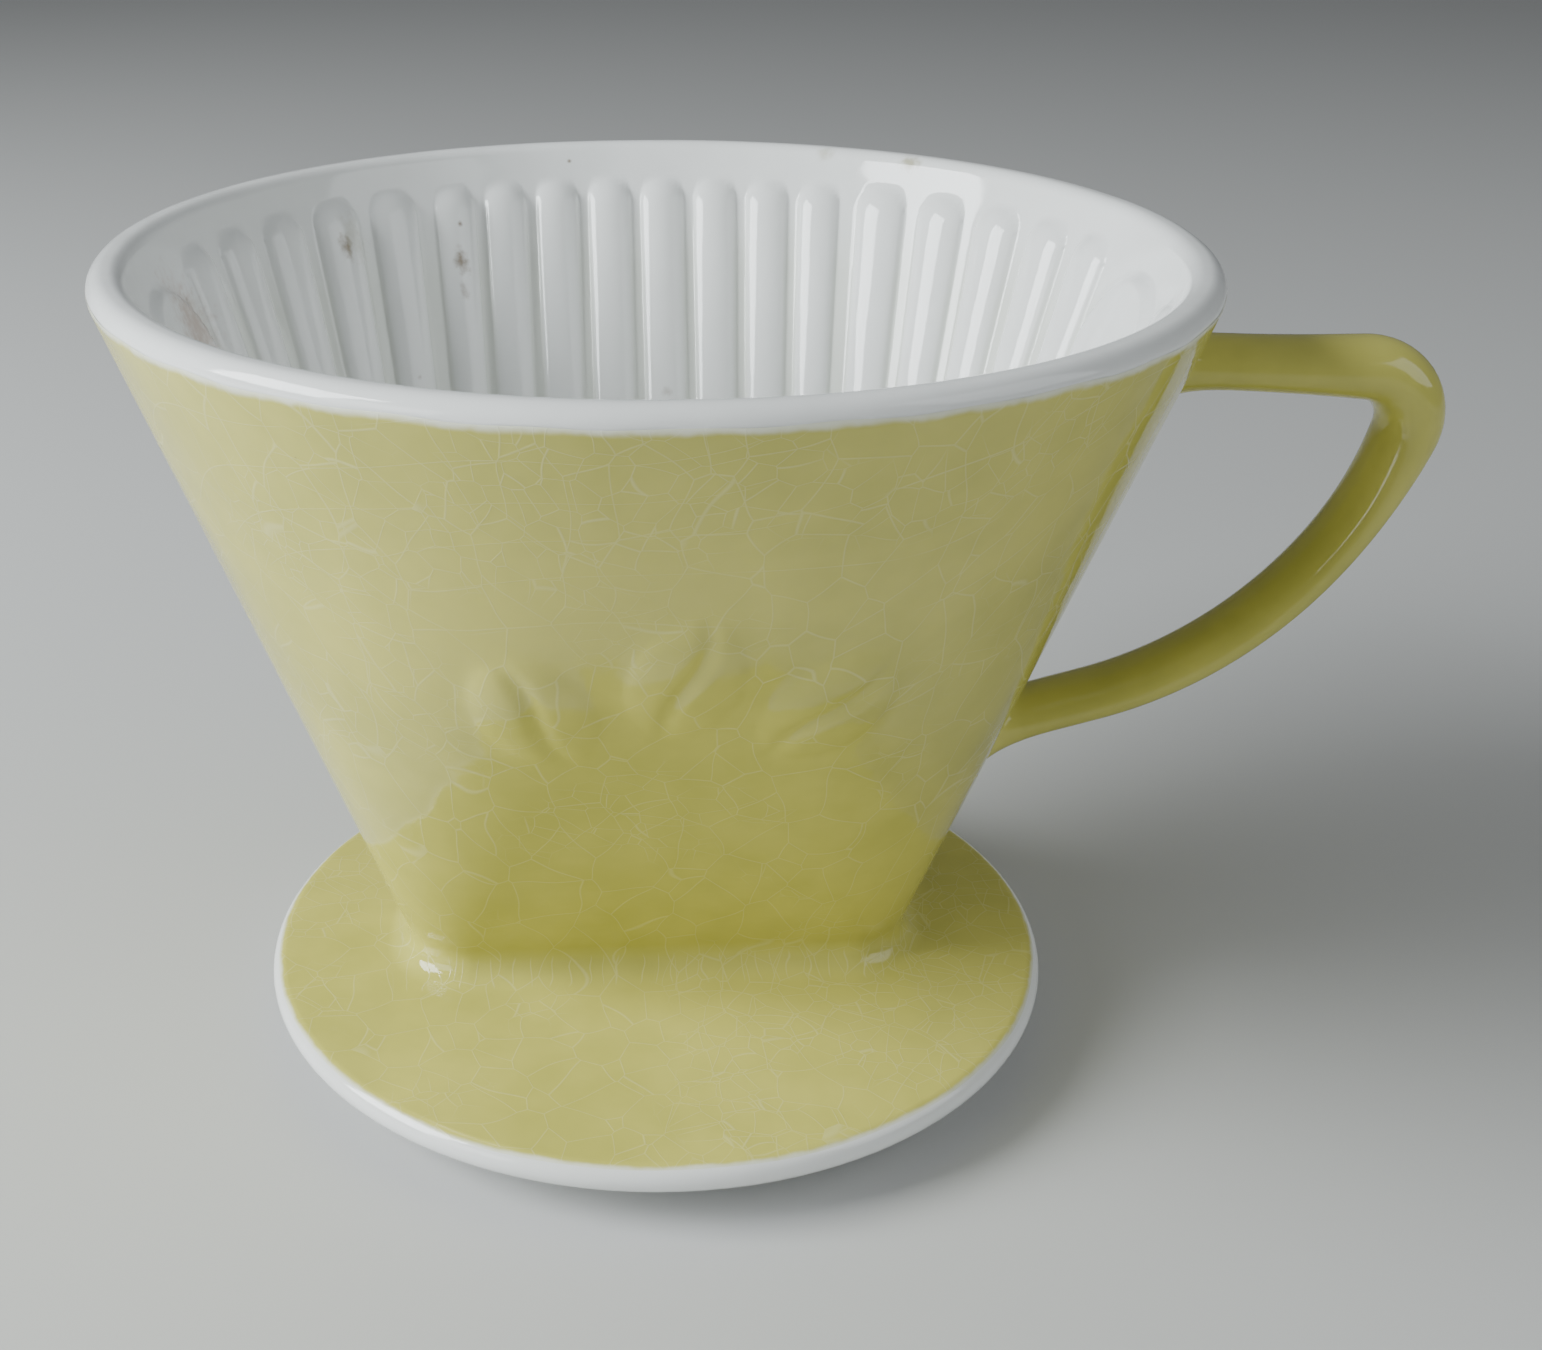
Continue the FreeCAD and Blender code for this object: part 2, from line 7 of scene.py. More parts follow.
import bmesh
import bpy
import numpy as np
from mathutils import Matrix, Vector


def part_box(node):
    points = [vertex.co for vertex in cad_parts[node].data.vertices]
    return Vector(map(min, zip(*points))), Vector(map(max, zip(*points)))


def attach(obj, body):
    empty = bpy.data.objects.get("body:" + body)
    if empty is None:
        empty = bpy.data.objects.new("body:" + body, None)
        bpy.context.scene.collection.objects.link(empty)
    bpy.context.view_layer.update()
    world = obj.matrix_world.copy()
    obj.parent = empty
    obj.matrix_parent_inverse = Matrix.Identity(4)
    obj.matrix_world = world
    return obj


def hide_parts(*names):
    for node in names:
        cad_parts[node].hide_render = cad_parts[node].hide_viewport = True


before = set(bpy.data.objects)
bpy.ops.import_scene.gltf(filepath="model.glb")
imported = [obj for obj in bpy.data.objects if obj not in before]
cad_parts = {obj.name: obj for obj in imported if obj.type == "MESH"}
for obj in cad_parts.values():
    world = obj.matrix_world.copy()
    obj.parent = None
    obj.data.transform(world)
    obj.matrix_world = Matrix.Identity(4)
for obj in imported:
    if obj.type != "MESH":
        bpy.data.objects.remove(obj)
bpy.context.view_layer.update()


# ----------------------------------------------------------------------------------------
# Funnel: the white porcelain body.  It is slip-cast in a plaster mould, from a rounded slot
# at the foot to a round rim, with ribs inside that hold the paper off the wall, and a floor
# with four drip holes.  The saucer, the ring and the handle are luted to it.

MM = 0.001
ring_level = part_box("funnel")[0][2]
rim_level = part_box("funnel")[1][2]
foot_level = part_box("saucer_glaze")[1][2]
floor_level = ring_level + 4.3 * MM
glaze_depth = 0.4 * MM
clay_gap = 0.02 * MM               # clay stays this far behind its glaze
lip_round = 1.95 * MM
foot_fillet = 3.0 * MM
floor_round = 2.0 * MM
land_reach = 6.0 * MM
land_depth = 0.9 * MM
coat_stop = rim_level - 1.9 * MM   # mean height where the yellow coat ends on the lip
coat_thinning = 0.45 * MM          # the coat nears its full depth in a few times this

# Half length and half width at the foot, corner radius there, rim radius, foot's height.
OUTSIDE = (31.0 * MM, 9.5 * MM, 6.5 * MM, 63.0 * MM, foot_level)
INSIDE = (26.4 * MM, 4.9 * MM, 3.5 * MM, 58.4 * MM, floor_level)
RIM_FLAT = 0.5 * MM

RIBS = 9
rib_top = 93.0 * MM
rib_height = 1.6 * MM
rib_soft = 0.2 * MM                # how softly a rib's foot meets the wall
pad_half_width = 11.0 * MM
pad_spring = 84.0 * MM
pad_height = 1.0 * MM
pad_edge = 1.1 * MM
hole_radius = 1.75 * MM
hole_pitch = 12.0 * MM


def section_sizes(wall, share):
    """Corner radius and half lengths of the straight sides of a level section.

    Each is the straight blend of its values at the foot and at the rim.
    """
    half_x, half_y, corner, rim, _ = wall
    radius = corner * (1 - share) + (rim - RIM_FLAT) * share
    long_side = (half_x - corner) * (1 - share) + RIM_FLAT * share
    short_side = (half_y - corner) * (1 - share) + RIM_FLAT * share
    return radius, long_side, short_side


def quarter_place(wall, share, part):
    """The place at a part, 0 to 1, of the way round a quarter of a section, from X = 0.

    The way runs along half the long side, then the corner arc, then half the short side.
    Returns how far along each side the place is, and the normal's angle from the X axis.
    """
    radius, long_side, short_side = section_sizes(wall, share)
    total = long_side + radius * np.pi / 2 + short_side
    way = part * total
    on_long = np.clip(way / long_side, 0, 1)
    turn = np.pi / 2 - np.clip((way - long_side) / radius, 0, np.pi / 2)
    on_short = np.clip((total - way) / short_side, 0, 1)
    return on_long, on_short, turn


def wall_lean(wall, turn):
    """Tangent of the wall's lean: growth of the section along its normal, over its height."""
    half_x, half_y, corner, rim, low = wall
    along_x = np.abs(np.cos(turn))
    along_y = np.abs(np.sin(turn))
    foot = (half_x - corner) * along_x + (half_y - corner) * along_y + corner
    top = RIM_FLAT * (along_x + along_y) + rim - RIM_FLAT
    return (top - foot) / (rim_level - low)


def wall_points(wall, z, place, signs, grow):
    """Points of a ruled wall at heights z, moved out level along the section's normal.

    x = side * (straight half length) + (radius + grow) * cos(turn), and y likewise.
    """
    share = (z - wall[4]) / (rim_level - wall[4])
    radius, long_side, short_side = section_sizes(wall, share)
    on_long, on_short, turn = place
    x = signs[0] * (on_long * long_side + (radius + grow) * np.cos(turn))
    y = signs[1] * (on_short * short_side + (radius + grow) * np.sin(turn))
    return np.stack([x, y, z + 0 * x], axis=-1)


def full_turn(quarter):
    """Mirrors quarter columns, given from X = 0, into a full anticlockwise turn from the front.

    Returns the columns' values and the signs of x and y.
    """
    inner = quarter[1:-1]
    values = np.concatenate([quarter, inner[::-1], quarter, inner[::-1]])
    count = len(inner)
    sign_x = np.repeat([1, 1, -1, -1], [count + 2, count, count + 2, count])
    sign_y = np.repeat([-1, 1, 1, -1], [count + 2, count, count + 2, count])
    return values, (sign_x, sign_y)


def wobble(turn, signs, seed, size):
    """A gentle uneven line round the object: five sine waves of the normal's angle."""
    angle = np.arctan2(signs[1] * np.sin(turn), signs[0] * np.cos(turn))
    rng = np.random.default_rng(seed)
    waves = [np.sin(k * angle + rng.uniform(0, 6.28)) * rng.uniform(0.4, 1.0)
             for k in (3, 7, 12, 19, 31)]
    return size * sum(waves) / 2


def loop_faces(rows, columns, offset=0):
    """Quads of a grid whose columns close on themselves, facing out when rows go up."""
    r = np.arange(rows - 1)[:, None] * columns
    c = np.arange(columns)[None, :]
    nxt = (c + 1) % columns
    quads = np.stack([r + c, r + nxt, r + columns + nxt, r + columns + c], axis=-1)
    return quads.reshape(-1, 4) + offset


def build(name, grids, faces, material, layers=None):
    """Makes one closed piece from point grids and their quads, and joins shared seams.

    layers, where given, are named values of each point, kept for the material.  Edges that
    turn by more than 40 degrees stay crisp.
    """
    points = np.concatenate([g.reshape(-1, 3) for g in grids])
    quads = np.concatenate(faces)
    mesh = bpy.data.meshes.new(name)
    mesh.from_pydata(points.tolist(), [], quads.tolist())
    for layer_name, values in (layers or {}).items():
        layer = mesh.attributes.new(layer_name, "FLOAT", "POINT")
        layer.data.foreach_set("value", values.ravel().astype(np.float32))
    bm = bmesh.new()
    bm.from_mesh(mesh)
    bmesh.ops.remove_doubles(bm, verts=bm.verts, dist=0.002 * MM)
    bmesh.ops.dissolve_degenerate(bm, dist=0.001 * MM, edges=bm.edges)
    bmesh.ops.recalc_face_normals(bm, faces=bm.faces)
    bm.to_mesh(mesh)
    bm.free()
    mesh.polygons.foreach_set("use_smooth", np.ones(len(mesh.polygons), dtype=bool))
    mesh.set_sharp_from_angle(angle=np.radians(40))
    piece = bpy.data.objects.new(name, mesh)
    bpy.context.scene.collection.objects.link(piece)
    mesh.materials.append(material)
    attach(piece, "root")
    return piece


def share_at(wall, z):
    """How far up a wall a height is, from 0 at the foot to 1 at the rim."""
    return (z - wall[4]) / (rim_level - wall[4])


# Columns follow the ribs: each has a place along the section at the ribs' upper ends and
# another at the floor, where the ribs crowd in towards the ends.
near_pitch = 7.3 * MM              # between the four ribs nearest the middle
far_pitch = 9.2 * MM               # between the rest
near_half_width = 2.95 * MM
far_half_width = 3.55 * MM
rib_crowding = 2.35                # how strongly they crowd to the ends at the floor


def rib_axis(rib):
    """How far along the section a rib's axis is at its upper end, counted from the middle."""
    return (np.minimum(rib, 3) + 0.5) * near_pitch + np.maximum(0, rib - 3) * far_pitch


rib_index = np.arange(RIBS)
rib_axes = rib_axis(rib_index)
rib_half_widths = np.where(rib_index < 4, near_half_width, far_half_width)
top_radius, top_long, top_short = section_sizes(INSIDE, share_at(INSIDE, rib_top))
top_total = top_long + top_radius * np.pi / 2 + top_short
across_rib = np.array([0, 0.35, 0.66, 0.84, 0.94, 1.0, 1.07, 1.17])
across_rib = np.concatenate([-across_rib[:0:-1], across_rib])
rib_columns = (rib_axes[:, None] + across_rib * rib_half_widths[:, None]).ravel()
gap_columns = np.concatenate([[0.0], (rib_axes[1:] + rib_axes[:-1]) / 2])
pad_columns = top_total - pad_half_width * np.array(
    [1.12, 1.06, 1.02, 0.98, 0.94, 0.88, 0.8, 0.7, 0.6, 0.5, 0.4, 0.3, 0.2, 0.1, 0])
column_way = np.unique(np.round(np.concatenate([rib_columns, gap_columns, pad_columns]), 7))
part_at_top = column_way / top_total
rib_count = np.where(column_way < rib_axes[3], column_way / near_pitch,
                     3.5 + (column_way - rib_axes[3]) / far_pitch)
part_at_floor = 1 - (1 - rib_count / rib_count[-1]) ** rib_crowding
floor_radius, floor_long, floor_short = section_sizes(INSIDE, 0.0)
floor_total = floor_long + floor_radius * np.pi / 2 + floor_short


def column_part(z):
    """Each column's part of the way round at heights z, so that the ribs run straight.

    The way along the section blends straight from the floor to the ribs' upper ends; the
    part is that way over the section's own length.
    """
    blend = np.clip((z - floor_level) / (rib_top - floor_level), 0, 1)
    total = floor_total * (1 - blend) + top_total * blend
    way = floor_total * part_at_floor * (1 - blend) + column_way * blend
    return way / total


def rib_relief(z, share):
    """How far the ribs and end pads stand in from the wall, on the quarter's own grid.

    A rib is a half ellipse across its axis, round at its upper end: height times a power of
    1 - across^2 - up^2, softened where it meets the wall.  An end pad is a low plateau with
    an arched top.
    """
    across = (column_way[None, :, None] - rib_axes) / rib_half_widths
    up = np.maximum(0, z - rib_top)[..., None] * 1.15 / rib_half_widths
    inside = 1 - across ** 2 - up ** 2
    tall = rib_height * (0.4 + 0.6 * share[..., None])
    raw = tall * np.sign(inside) * np.abs(inside) ** 0.62
    ribs = (0.5 * (raw + np.sqrt(raw ** 2 + rib_soft ** 2)) - 0.05 * rib_soft).max(axis=-1)
    from_end = (top_total - column_way)[None, :] / pad_half_width
    rise = np.maximum(0, z - pad_spring) * 1.05 / pad_half_width
    inward = pad_half_width * (1 - np.hypot(from_end, rise)) / pad_edge
    plateau = np.clip(inward + 0.5, 0, 1)
    pads = pad_height * plateau ** 2 * (3 - 2 * plateau)
    return np.maximum(np.maximum(ribs, pads), 0)


def inner_rows():
    """Rows of the inside, from the lip's inner edge down to the floor, on a quarter.

    Each row has a height, a level growth from the ruled wall, and a share of the relief.
    """
    lean = wall_lean(INSIDE, quarter_place(INSIDE, 1.0, part_at_top)[2])
    slope = np.arctan(lean)
    reach = lip_round / np.tan((np.pi / 2 + slope) / 2)
    phi = np.pi / 2 + (np.pi / 2 - slope)[None, :] * np.linspace(0, 1, 10)[:, None]
    lip_z = rim_level - lip_round + lip_round * np.sin(phi)
    lip_grow = reach + lip_round * np.cos(phi) + lean * (rim_level - lip_z)
    over_rib_ends = np.arange(96.6, 82.0, -0.45)
    down_the_ribs = [80, 76, 70, 63, 56, 49, 42, 35, 29, 24, 20, 17, 15]
    plain = np.concatenate([over_rib_ends, down_the_ribs])[:, None] * MM + 0 * lean[None, :]
    back = floor_round / np.tan((np.pi / 2 + slope) / 2)
    phi = -slope[None, :] + (slope - np.pi / 2)[None, :] * np.linspace(0, 1, 7)[:, None]
    fillet_z = floor_level + floor_round + floor_round * np.sin(phi)
    fillet_grow = -back + floor_round * np.cos(phi) - lean * (fillet_z - floor_level)
    z = np.concatenate([lip_z, plain, fillet_z])
    grow = np.concatenate([lip_grow, 0 * plain, fillet_grow])
    return z, grow


def inner_wall():
    """The inside of the funnel as a full grid, rows going down, and a mask of painted shade.

    Grey-green shade is painted in the narrow gaps between the ribs: 1 there, 0 on their crests.
    """
    z, grow = inner_rows()
    share = share_at(INSIDE, z)
    on_long, on_short, turn = quarter_place(INSIDE, share, column_part(z))
    fade = np.clip((z - floor_level) / (2.5 * MM), 0, 1)
    relief = rib_relief(z, share)
    grow = grow - relief * fade
    # Painted shade: darkens the gaps between the ribs, and fades out above their upper ends.
    below = np.clip((rib_top - z) / (8 * MM), 0, 1)
    gap_shade = np.exp(-(relief / (0.5 * MM)) ** 2) * below
    index, signs = full_turn(np.arange(z.shape[1]))
    place = (on_long[:, index], on_short[:, index], turn[:, index])
    return wall_points(INSIDE, z[:, index], place, signs, grow[:, index]), gap_shade[:, index]


def coat_fall(distance):
    """Depth of the yellow coat at a distance in from its edge: it thins out to nothing."""
    return glaze_depth * (1 - np.exp(-np.maximum(distance, 0) / coat_thinning))


def lip_outside(turn):
    """Heights and growths over the outside of the lip, from its top down to the wall."""
    lean = wall_lean(OUTSIDE, turn)
    slope = np.arctan(lean)
    reach = lip_round / np.tan((np.pi / 2 - slope) / 2)
    phi = np.pi / 2 - (np.pi / 2 + slope)[None, :] * np.linspace(0, 1, 19)[:, None]
    z = rim_level - lip_round + lip_round * np.sin(phi)
    grow = -reach + lip_round * np.cos(phi) + lean * (rim_level - z)
    return z, grow


def foot_outside(turn, steps):
    """Heights and growths of the foot's fillet, from the wall down to the level land."""
    lean = wall_lean(OUTSIDE, turn)
    slope = np.arctan(lean)
    reach = foot_fillet / np.tan((np.pi / 2 - slope) / 2)
    phi = np.pi - slope[None, :] + (np.pi / 2 + slope)[None, :] * np.linspace(0, 1, steps)[:, None]
    z = foot_level + foot_fillet + foot_fillet * np.sin(phi)
    grow = reach + foot_fillet * np.cos(phi) - lean * (z - foot_level)
    return z, grow


def edge_height(turn, signs):
    """Where the yellow coat ends on the lip."""
    return coat_stop + wobble(turn, signs, 5, 0.16 * MM)


def clay_outside():
    """The clay's outside, from the lip down, behind the coat, to the plug's lower face."""
    index, signs = full_turn(np.arange(len(part_at_top)))
    turn = quarter_place(OUTSIDE, 1.0, part_at_top)[2]
    lip_z, lip_grow = lip_outside(turn)
    wall_top = 96.4 * MM
    wall_low = 16.0 * MM
    plain = np.linspace(wall_top, wall_low, 12)[:, None] + 0 * turn[None, :]
    foot_z, foot_grow = foot_outside(turn, 7)
    z = np.concatenate([lip_z, plain, foot_z])
    grow = np.concatenate([lip_grow, 0 * plain, foot_grow])
    place = [v[:, index] for v in quarter_place(OUTSIDE, share_at(OUTSIDE, z), column_part(z))]
    z = z[:, index]
    under = edge_height(place[2], signs) - z
    sink = coat_fall(under) + np.where(under > -0.3 * MM, clay_gap, 0)
    level = np.clip((z - foot_level) / foot_fillet, 0, 1)
    wall = wall_points(OUTSIDE, z, place, signs, grow[:, index] - sink * level)
    wall[..., 2] -= sink * (1 - level)
    base = [v[index] for v in quarter_place(OUTSIDE, 0.0, part_at_floor)]
    bed = foot_level + 0 * index
    flat = []
    for height, reach in ((foot_level - glaze_depth - clay_gap, land_reach),
                          (foot_level - land_depth, land_reach),
                          (foot_level - land_depth, 0.0), (ring_level, 0.0)):
        row = wall_points(OUTSIDE, bed, base, signs, reach)
        row[..., 2] = height
        flat.append(row[None])
    return np.concatenate([wall] + flat)


def pierced_floor(outline_top, outline_bottom):
    """Floor and underside with the drip holes, as fans from each hole to the outlines.

    The outlines share their columns.  They are parted between the holes at the columns
    nearest to halfway, and a fan blends straight from the hole's circle to its own part.
    """
    count = len(outline_top)
    quarter = count // 4
    x = outline_top[:, 0]
    front = np.concatenate([np.arange(3 * quarter, count), np.arange(0, quarter + 1)])
    cuts = [np.argmin(np.abs(x[front] - hole_pitch * k)) for k in (-1, 0, 1)]
    cuts = [0] + cuts + [len(front) - 1]
    grids = []
    faces = []
    offset = 0
    for hole, (start, end) in enumerate(zip(cuts[:-1], cuts[1:])):
        lower = front[start:end + 1]
        upper = (2 * quarter - lower) % count
        circle = None
        for outline, height_flip in ((outline_top, False), (outline_bottom, True)):
            front_edge = outline[lower]
            back_edge = outline[upper][::-1]
            side = np.linspace(0, 1, 9)[1:-1, None]
            right = front_edge[-1] * (1 - side) + back_edge[0] * side
            left = back_edge[-1] * (1 - side) + front_edge[0] * side
            ring = np.concatenate([front_edge, right, back_edge, left])
            centre = np.array([hole_pitch * (hole - 1.5), 0, ring[0, 2]])
            if circle is None:
                angle = np.arctan2(ring[:, 1], ring[:, 0] - centre[0])
                circle = np.stack([np.cos(angle), np.sin(angle), 0 * angle], axis=-1)
            rim = centre + circle * hole_radius
            blend = np.linspace(0, 1, 5)[:, None, None] ** 1.5
            fan = rim[None] * (1 - blend) + ring[None] * blend
            fan = fan if height_flip else fan[::-1]
            grids.append(fan)
            faces.append(loop_faces(5, len(ring), offset))
            offset += fan.shape[0] * fan.shape[1]
        walls = np.stack([grids[-2][-1], grids[-1][0]])
        grids.append(walls)
        faces.append(loop_faces(2, walls.shape[1], offset))
        offset += walls.shape[0] * walls.shape[1]
    return grids, faces, offset


def funnel_mesh(material):
    """Outside going up, over the lip and down the inside, then the pierced floor."""
    inside, gap_shade = inner_wall()
    outside = clay_outside()[::-1]
    skin = np.concatenate([outside, inside])
    grids, faces, offset = pierced_floor(skin[-1], skin[0])
    grids.append(skin)
    faces.append(loop_faces(len(skin), skin.shape[1], offset))
    # Each point's share of the painted shade between the ribs, 0 off the inside.
    gap_shade_per_point = np.concatenate([np.zeros(offset + outside.shape[0] * outside.shape[1]), gap_shade.ravel()])
    return build("funnel_clay", grids, faces, material, {"painted_gap_shade": gap_shade_per_point})


def wire(tree, value, socket):
    """Links an output to a socket, or sets the socket to a plain value."""
    if isinstance(value, bpy.types.NodeSocket):
        tree.links.new(value, socket)
    else:
        socket.default_value = value


def calc(tree, operation, *values):
    """A Math node on one to three values."""
    made = tree.nodes.new("ShaderNodeMath")
    made.operation = operation
    for value, socket in zip(values, made.inputs):
        wire(tree, value, socket)
    return made.outputs[0]


def shift(tree, operation, *values):
    """A Vector Math node on one to three vectors."""
    made = tree.nodes.new("ShaderNodeVectorMath")
    made.operation = operation
    for value, socket in zip(values, made.inputs):
        wire(tree, value, socket)
    return made.outputs["Value"] if operation in ("LENGTH", "DISTANCE") else made.outputs[0]


def fade_in(tree, value, start, end, low=0.0, high=1.0):
    """A smooth step of a value, from low at start to high at end."""
    made = tree.nodes.new("ShaderNodeMapRange")
    made.interpolation_type = "SMOOTHSTEP"
    for item, socket in zip((value, start, end, low, high), made.inputs):
        wire(tree, item, socket)
    return made.outputs[0]


def tint(tree, mask, under, over):
    """One colour over another, by a mask."""
    made = tree.nodes.new("ShaderNodeMix")
    made.data_type = "RGBA"
    for item, socket in zip((mask, under, over), (made.inputs[0], made.inputs[6], made.inputs[7])):
        wire(tree, item, socket)
    return made.outputs[2]


def cloud(tree, place, size, detail=2.0):
    """Soft noise whose patches are about size across; returns its value and its vector."""
    made = tree.nodes.new("ShaderNodeTexNoise")
    wire(tree, place, made.inputs["Vector"])
    made.inputs["Scale"].default_value = 1 / size
    made.inputs["Detail"].default_value = detail
    return made.outputs["Fac"], made.outputs["Color"]


def new_group(name, inputs, outputs):
    """An empty node group with named value sockets, its input and its output node."""
    tree = bpy.data.node_groups.new(name, "ShaderNodeTree")
    for title, kind in inputs:
        tree.interface.new_socket(title, in_out="INPUT", socket_type=kind)
    for title in outputs:
        tree.interface.new_socket(title, in_out="OUTPUT", socket_type="NodeSocketFloat")
    return tree, tree.nodes.new("NodeGroupInput").outputs, tree.nodes.new("NodeGroupOutput").inputs


def glaze_flow_group():
    """How a poured glaze varies: broad patches of tone, and the ripple it sets with."""
    tree, given, result = new_group("glaze_flow", [("Place", "NodeSocketVector")],
                                    ["Tone", "Ripple"])
    broad = cloud(tree, given["Place"], 38 * MM, 3.0)[0]
    small = cloud(tree, given["Place"], 5 * MM, 2.0)[0]
    tone = calc(tree, "MULTIPLY_ADD", small, 0.25, calc(tree, "MULTIPLY", broad, 0.75))
    wire(tree, fade_in(tree, tone, 0.32, 0.68), result["Tone"])
    swell = cloud(tree, given["Place"], 17 * MM, 1.0)[0]
    peel = cloud(tree, given["Place"], 2.6 * MM, 1.0)[0]
    wire(tree, calc(tree, "MULTIPLY_ADD", peel, 0.06, swell), result["Ripple"])
    return tree


def kiln_specks_group():
    """Tiny dark specks of iron and burst bubbles: a few of the cells of a loose lattice."""
    tree, given, result = new_group(
        "kiln_specks", [("Place", "NodeSocketVector"), ("Share", "NodeSocketFloat")], ["Mask"])
    cells = tree.nodes.new("ShaderNodeTexVoronoi")
    wire(tree, given["Place"], cells.inputs["Vector"])
    cells.inputs["Scale"].default_value = 1 / (9 * MM)
    pick = tree.nodes.new("ShaderNodeSeparateColor")
    wire(tree, cells.outputs["Color"], pick.inputs[0])
    chosen = calc(tree, "LESS_THAN", pick.outputs[0], given["Share"])
    size = calc(tree, "MULTIPLY_ADD", pick.outputs[1], 0.022, 0.012)
    dot = fade_in(tree, cells.outputs["Distance"], size, calc(tree, "MULTIPLY", size, 0.4))
    wire(tree, calc(tree, "MULTIPLY", dot, chosen), result["Mask"])
    return tree


glaze_flow = glaze_flow_group()
kiln_specks = kiln_specks_group()


def placed(tree, group, **given):
    """A group in a material, with its inputs."""
    made = tree.nodes.new("ShaderNodeGroup")
    made.node_tree = group
    for title, value in given.items():
        wire(tree, value, made.inputs[title])
    return made.outputs


def attribute(tree, name):
    """A point attribute of the piece."""
    made = tree.nodes.new("ShaderNodeAttribute")
    made.attribute_name = name
    return made.outputs["Fac"]


def bumped(tree, height, depth):
    """A normal from a height that runs from 0 to 1 over a depth."""
    made = tree.nodes.new("ShaderNodeBump")
    made.inputs["Distance"].default_value = depth
    wire(tree, height, made.inputs["Height"])
    return made.outputs[0]


# Coffee stains and iron spots, all on the back half: the place (side, ribs from the middle,
# mm below the ribs' upper ends, share of the ribs' height), then half sizes (across, down) in
# mm, strength and colour.
BROWN = (0.20, 0.13, 0.06, 1)
RUST = (0.42, 0.25, 0.16, 1)
OLIVE = (0.30, 0.27, 0.10, 1)
STAINS = [
    ((-1, 5.0, 2.0, 1), (1.3, 2.4), 0.75, BROWN),
    ((-1, 4.8, 1.0, 1), (2.8, 4.4), 0.25, OLIVE),
    ((-1, 3.0, 7.0, 0.5), (1.2, 4.8), 0.85, BROWN),
    ((-1, 3.0, 10.5, 0.5), (0.8, 2.2), 0.55, BROWN),
    ((-1, 3.0, 1.5, 1), (0.5, 0.5), 0.9, BROWN),
    ((-1, 9.0, 4.0, 1), (6.5, 9.5), 0.6, RUST),
    ((-1, 8.7, 2.0, 0.5), (1.2, 4.0), 0.6, BROWN),
    ((1, 4.3, -6.3, 0), (1.9, 1.4), 0.65, OLIVE),
    ((1, 3.0, -6.4, 0), (1.6, 1.2), 0.35, OLIVE),
    ((-1, 0.7, -4.8, 0), (0.4, 0.4), 0.8, BROWN),
    ((1, 0.0, 23.0, 1), (0.9, 0.9), 0.35, BROWN),
    ((-1, 4.0, 19.0, 1), (0.5, 0.5), 0.8, BROWN),
]


def stain_middle(side, rib, below, crest):
    """The middle of a stain: on the wall, moved in by a share of the ribs' height."""
    z = rib_top - below * MM
    part = np.interp(rib_axis(rib), column_way, column_part(z))
    place = quarter_place(INSIDE, share_at(INSIDE, z), part)
    return wall_points(INSIDE, z, place, (side, 1), -crest * rib_height)


def stained(tree, colour, place, grain):
    """Lays each stain over a colour: a soft ellipsoid with a ragged edge."""
    for spot, (across, down), strength, stain in STAINS:
        away = shift(tree, "SUBTRACT", place, stain_middle(*spot).tolist())
        scaled = shift(tree, "DIVIDE", away, [across * MM, across * MM, down * MM])
        ragged = calc(tree, "MULTIPLY_ADD", grain, 1.2, shift(tree, "LENGTH", scaled))
        colour = tint(tree, fade_in(tree, ragged, 1.7, 0.6, 0.0, strength), colour, stain)
    return colour


WHITE_BODY = (0.84, 0.85, 0.83, 1)
WHITE_PATCH = (0.88, 0.89, 0.88, 1)
# Grey-green painted shade, laid in the gaps between the ribs.
GAP_SHADE_GREY = (0.66, 0.69, 0.60, 1)


def porcelain():
    """White body under a clear gloss, with grey-green shade painted in the gaps between the ribs.
    """
    material = bpy.data.materials.new("white_porcelain")
    material.use_nodes = True
    tree = material.node_tree
    shader = tree.nodes["Principled BSDF"]
    place = tree.nodes.new("ShaderNodeTexCoord").outputs["Object"]
    flow = placed(tree, glaze_flow, Place=place)
    colour = tint(tree, flow["Tone"], WHITE_BODY, WHITE_PATCH)
    # Painted shade: grey-green darkening in the gaps between the ribs.
    gap_shade = calc(tree, "MULTIPLY", attribute(tree, "painted_gap_shade"), 0.55)
    colour = tint(tree, gap_shade, colour, GAP_SHADE_GREY)
    grain = cloud(tree, place, 0.9 * MM, 3.0)[0]
    colour = stained(tree, colour, place, grain)
    specks = placed(tree, kiln_specks, Place=place, Share=0.035)
    colour = tint(tree, calc(tree, "MULTIPLY", specks["Mask"], 0.8), colour, BROWN)
    wire(tree, colour, shader.inputs["Base Color"])
    wire(tree, fade_in(tree, flow["Tone"], 0, 1, 0.07, 0.13), shader.inputs["Roughness"])
    wire(tree, bumped(tree, flow["Ripple"], 0.35 * MM), shader.inputs["Normal"])
    return material


white = porcelain()
funnel = funnel_mesh(white)
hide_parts("funnel")


# ----------------------------------------------------------------------------------------
# Funnel glaze: the yellow coat on the outside of the funnel, poured on and wiped back from
# the lip before firing.  It thins out at its upper edge and runs over the fillet at the foot.

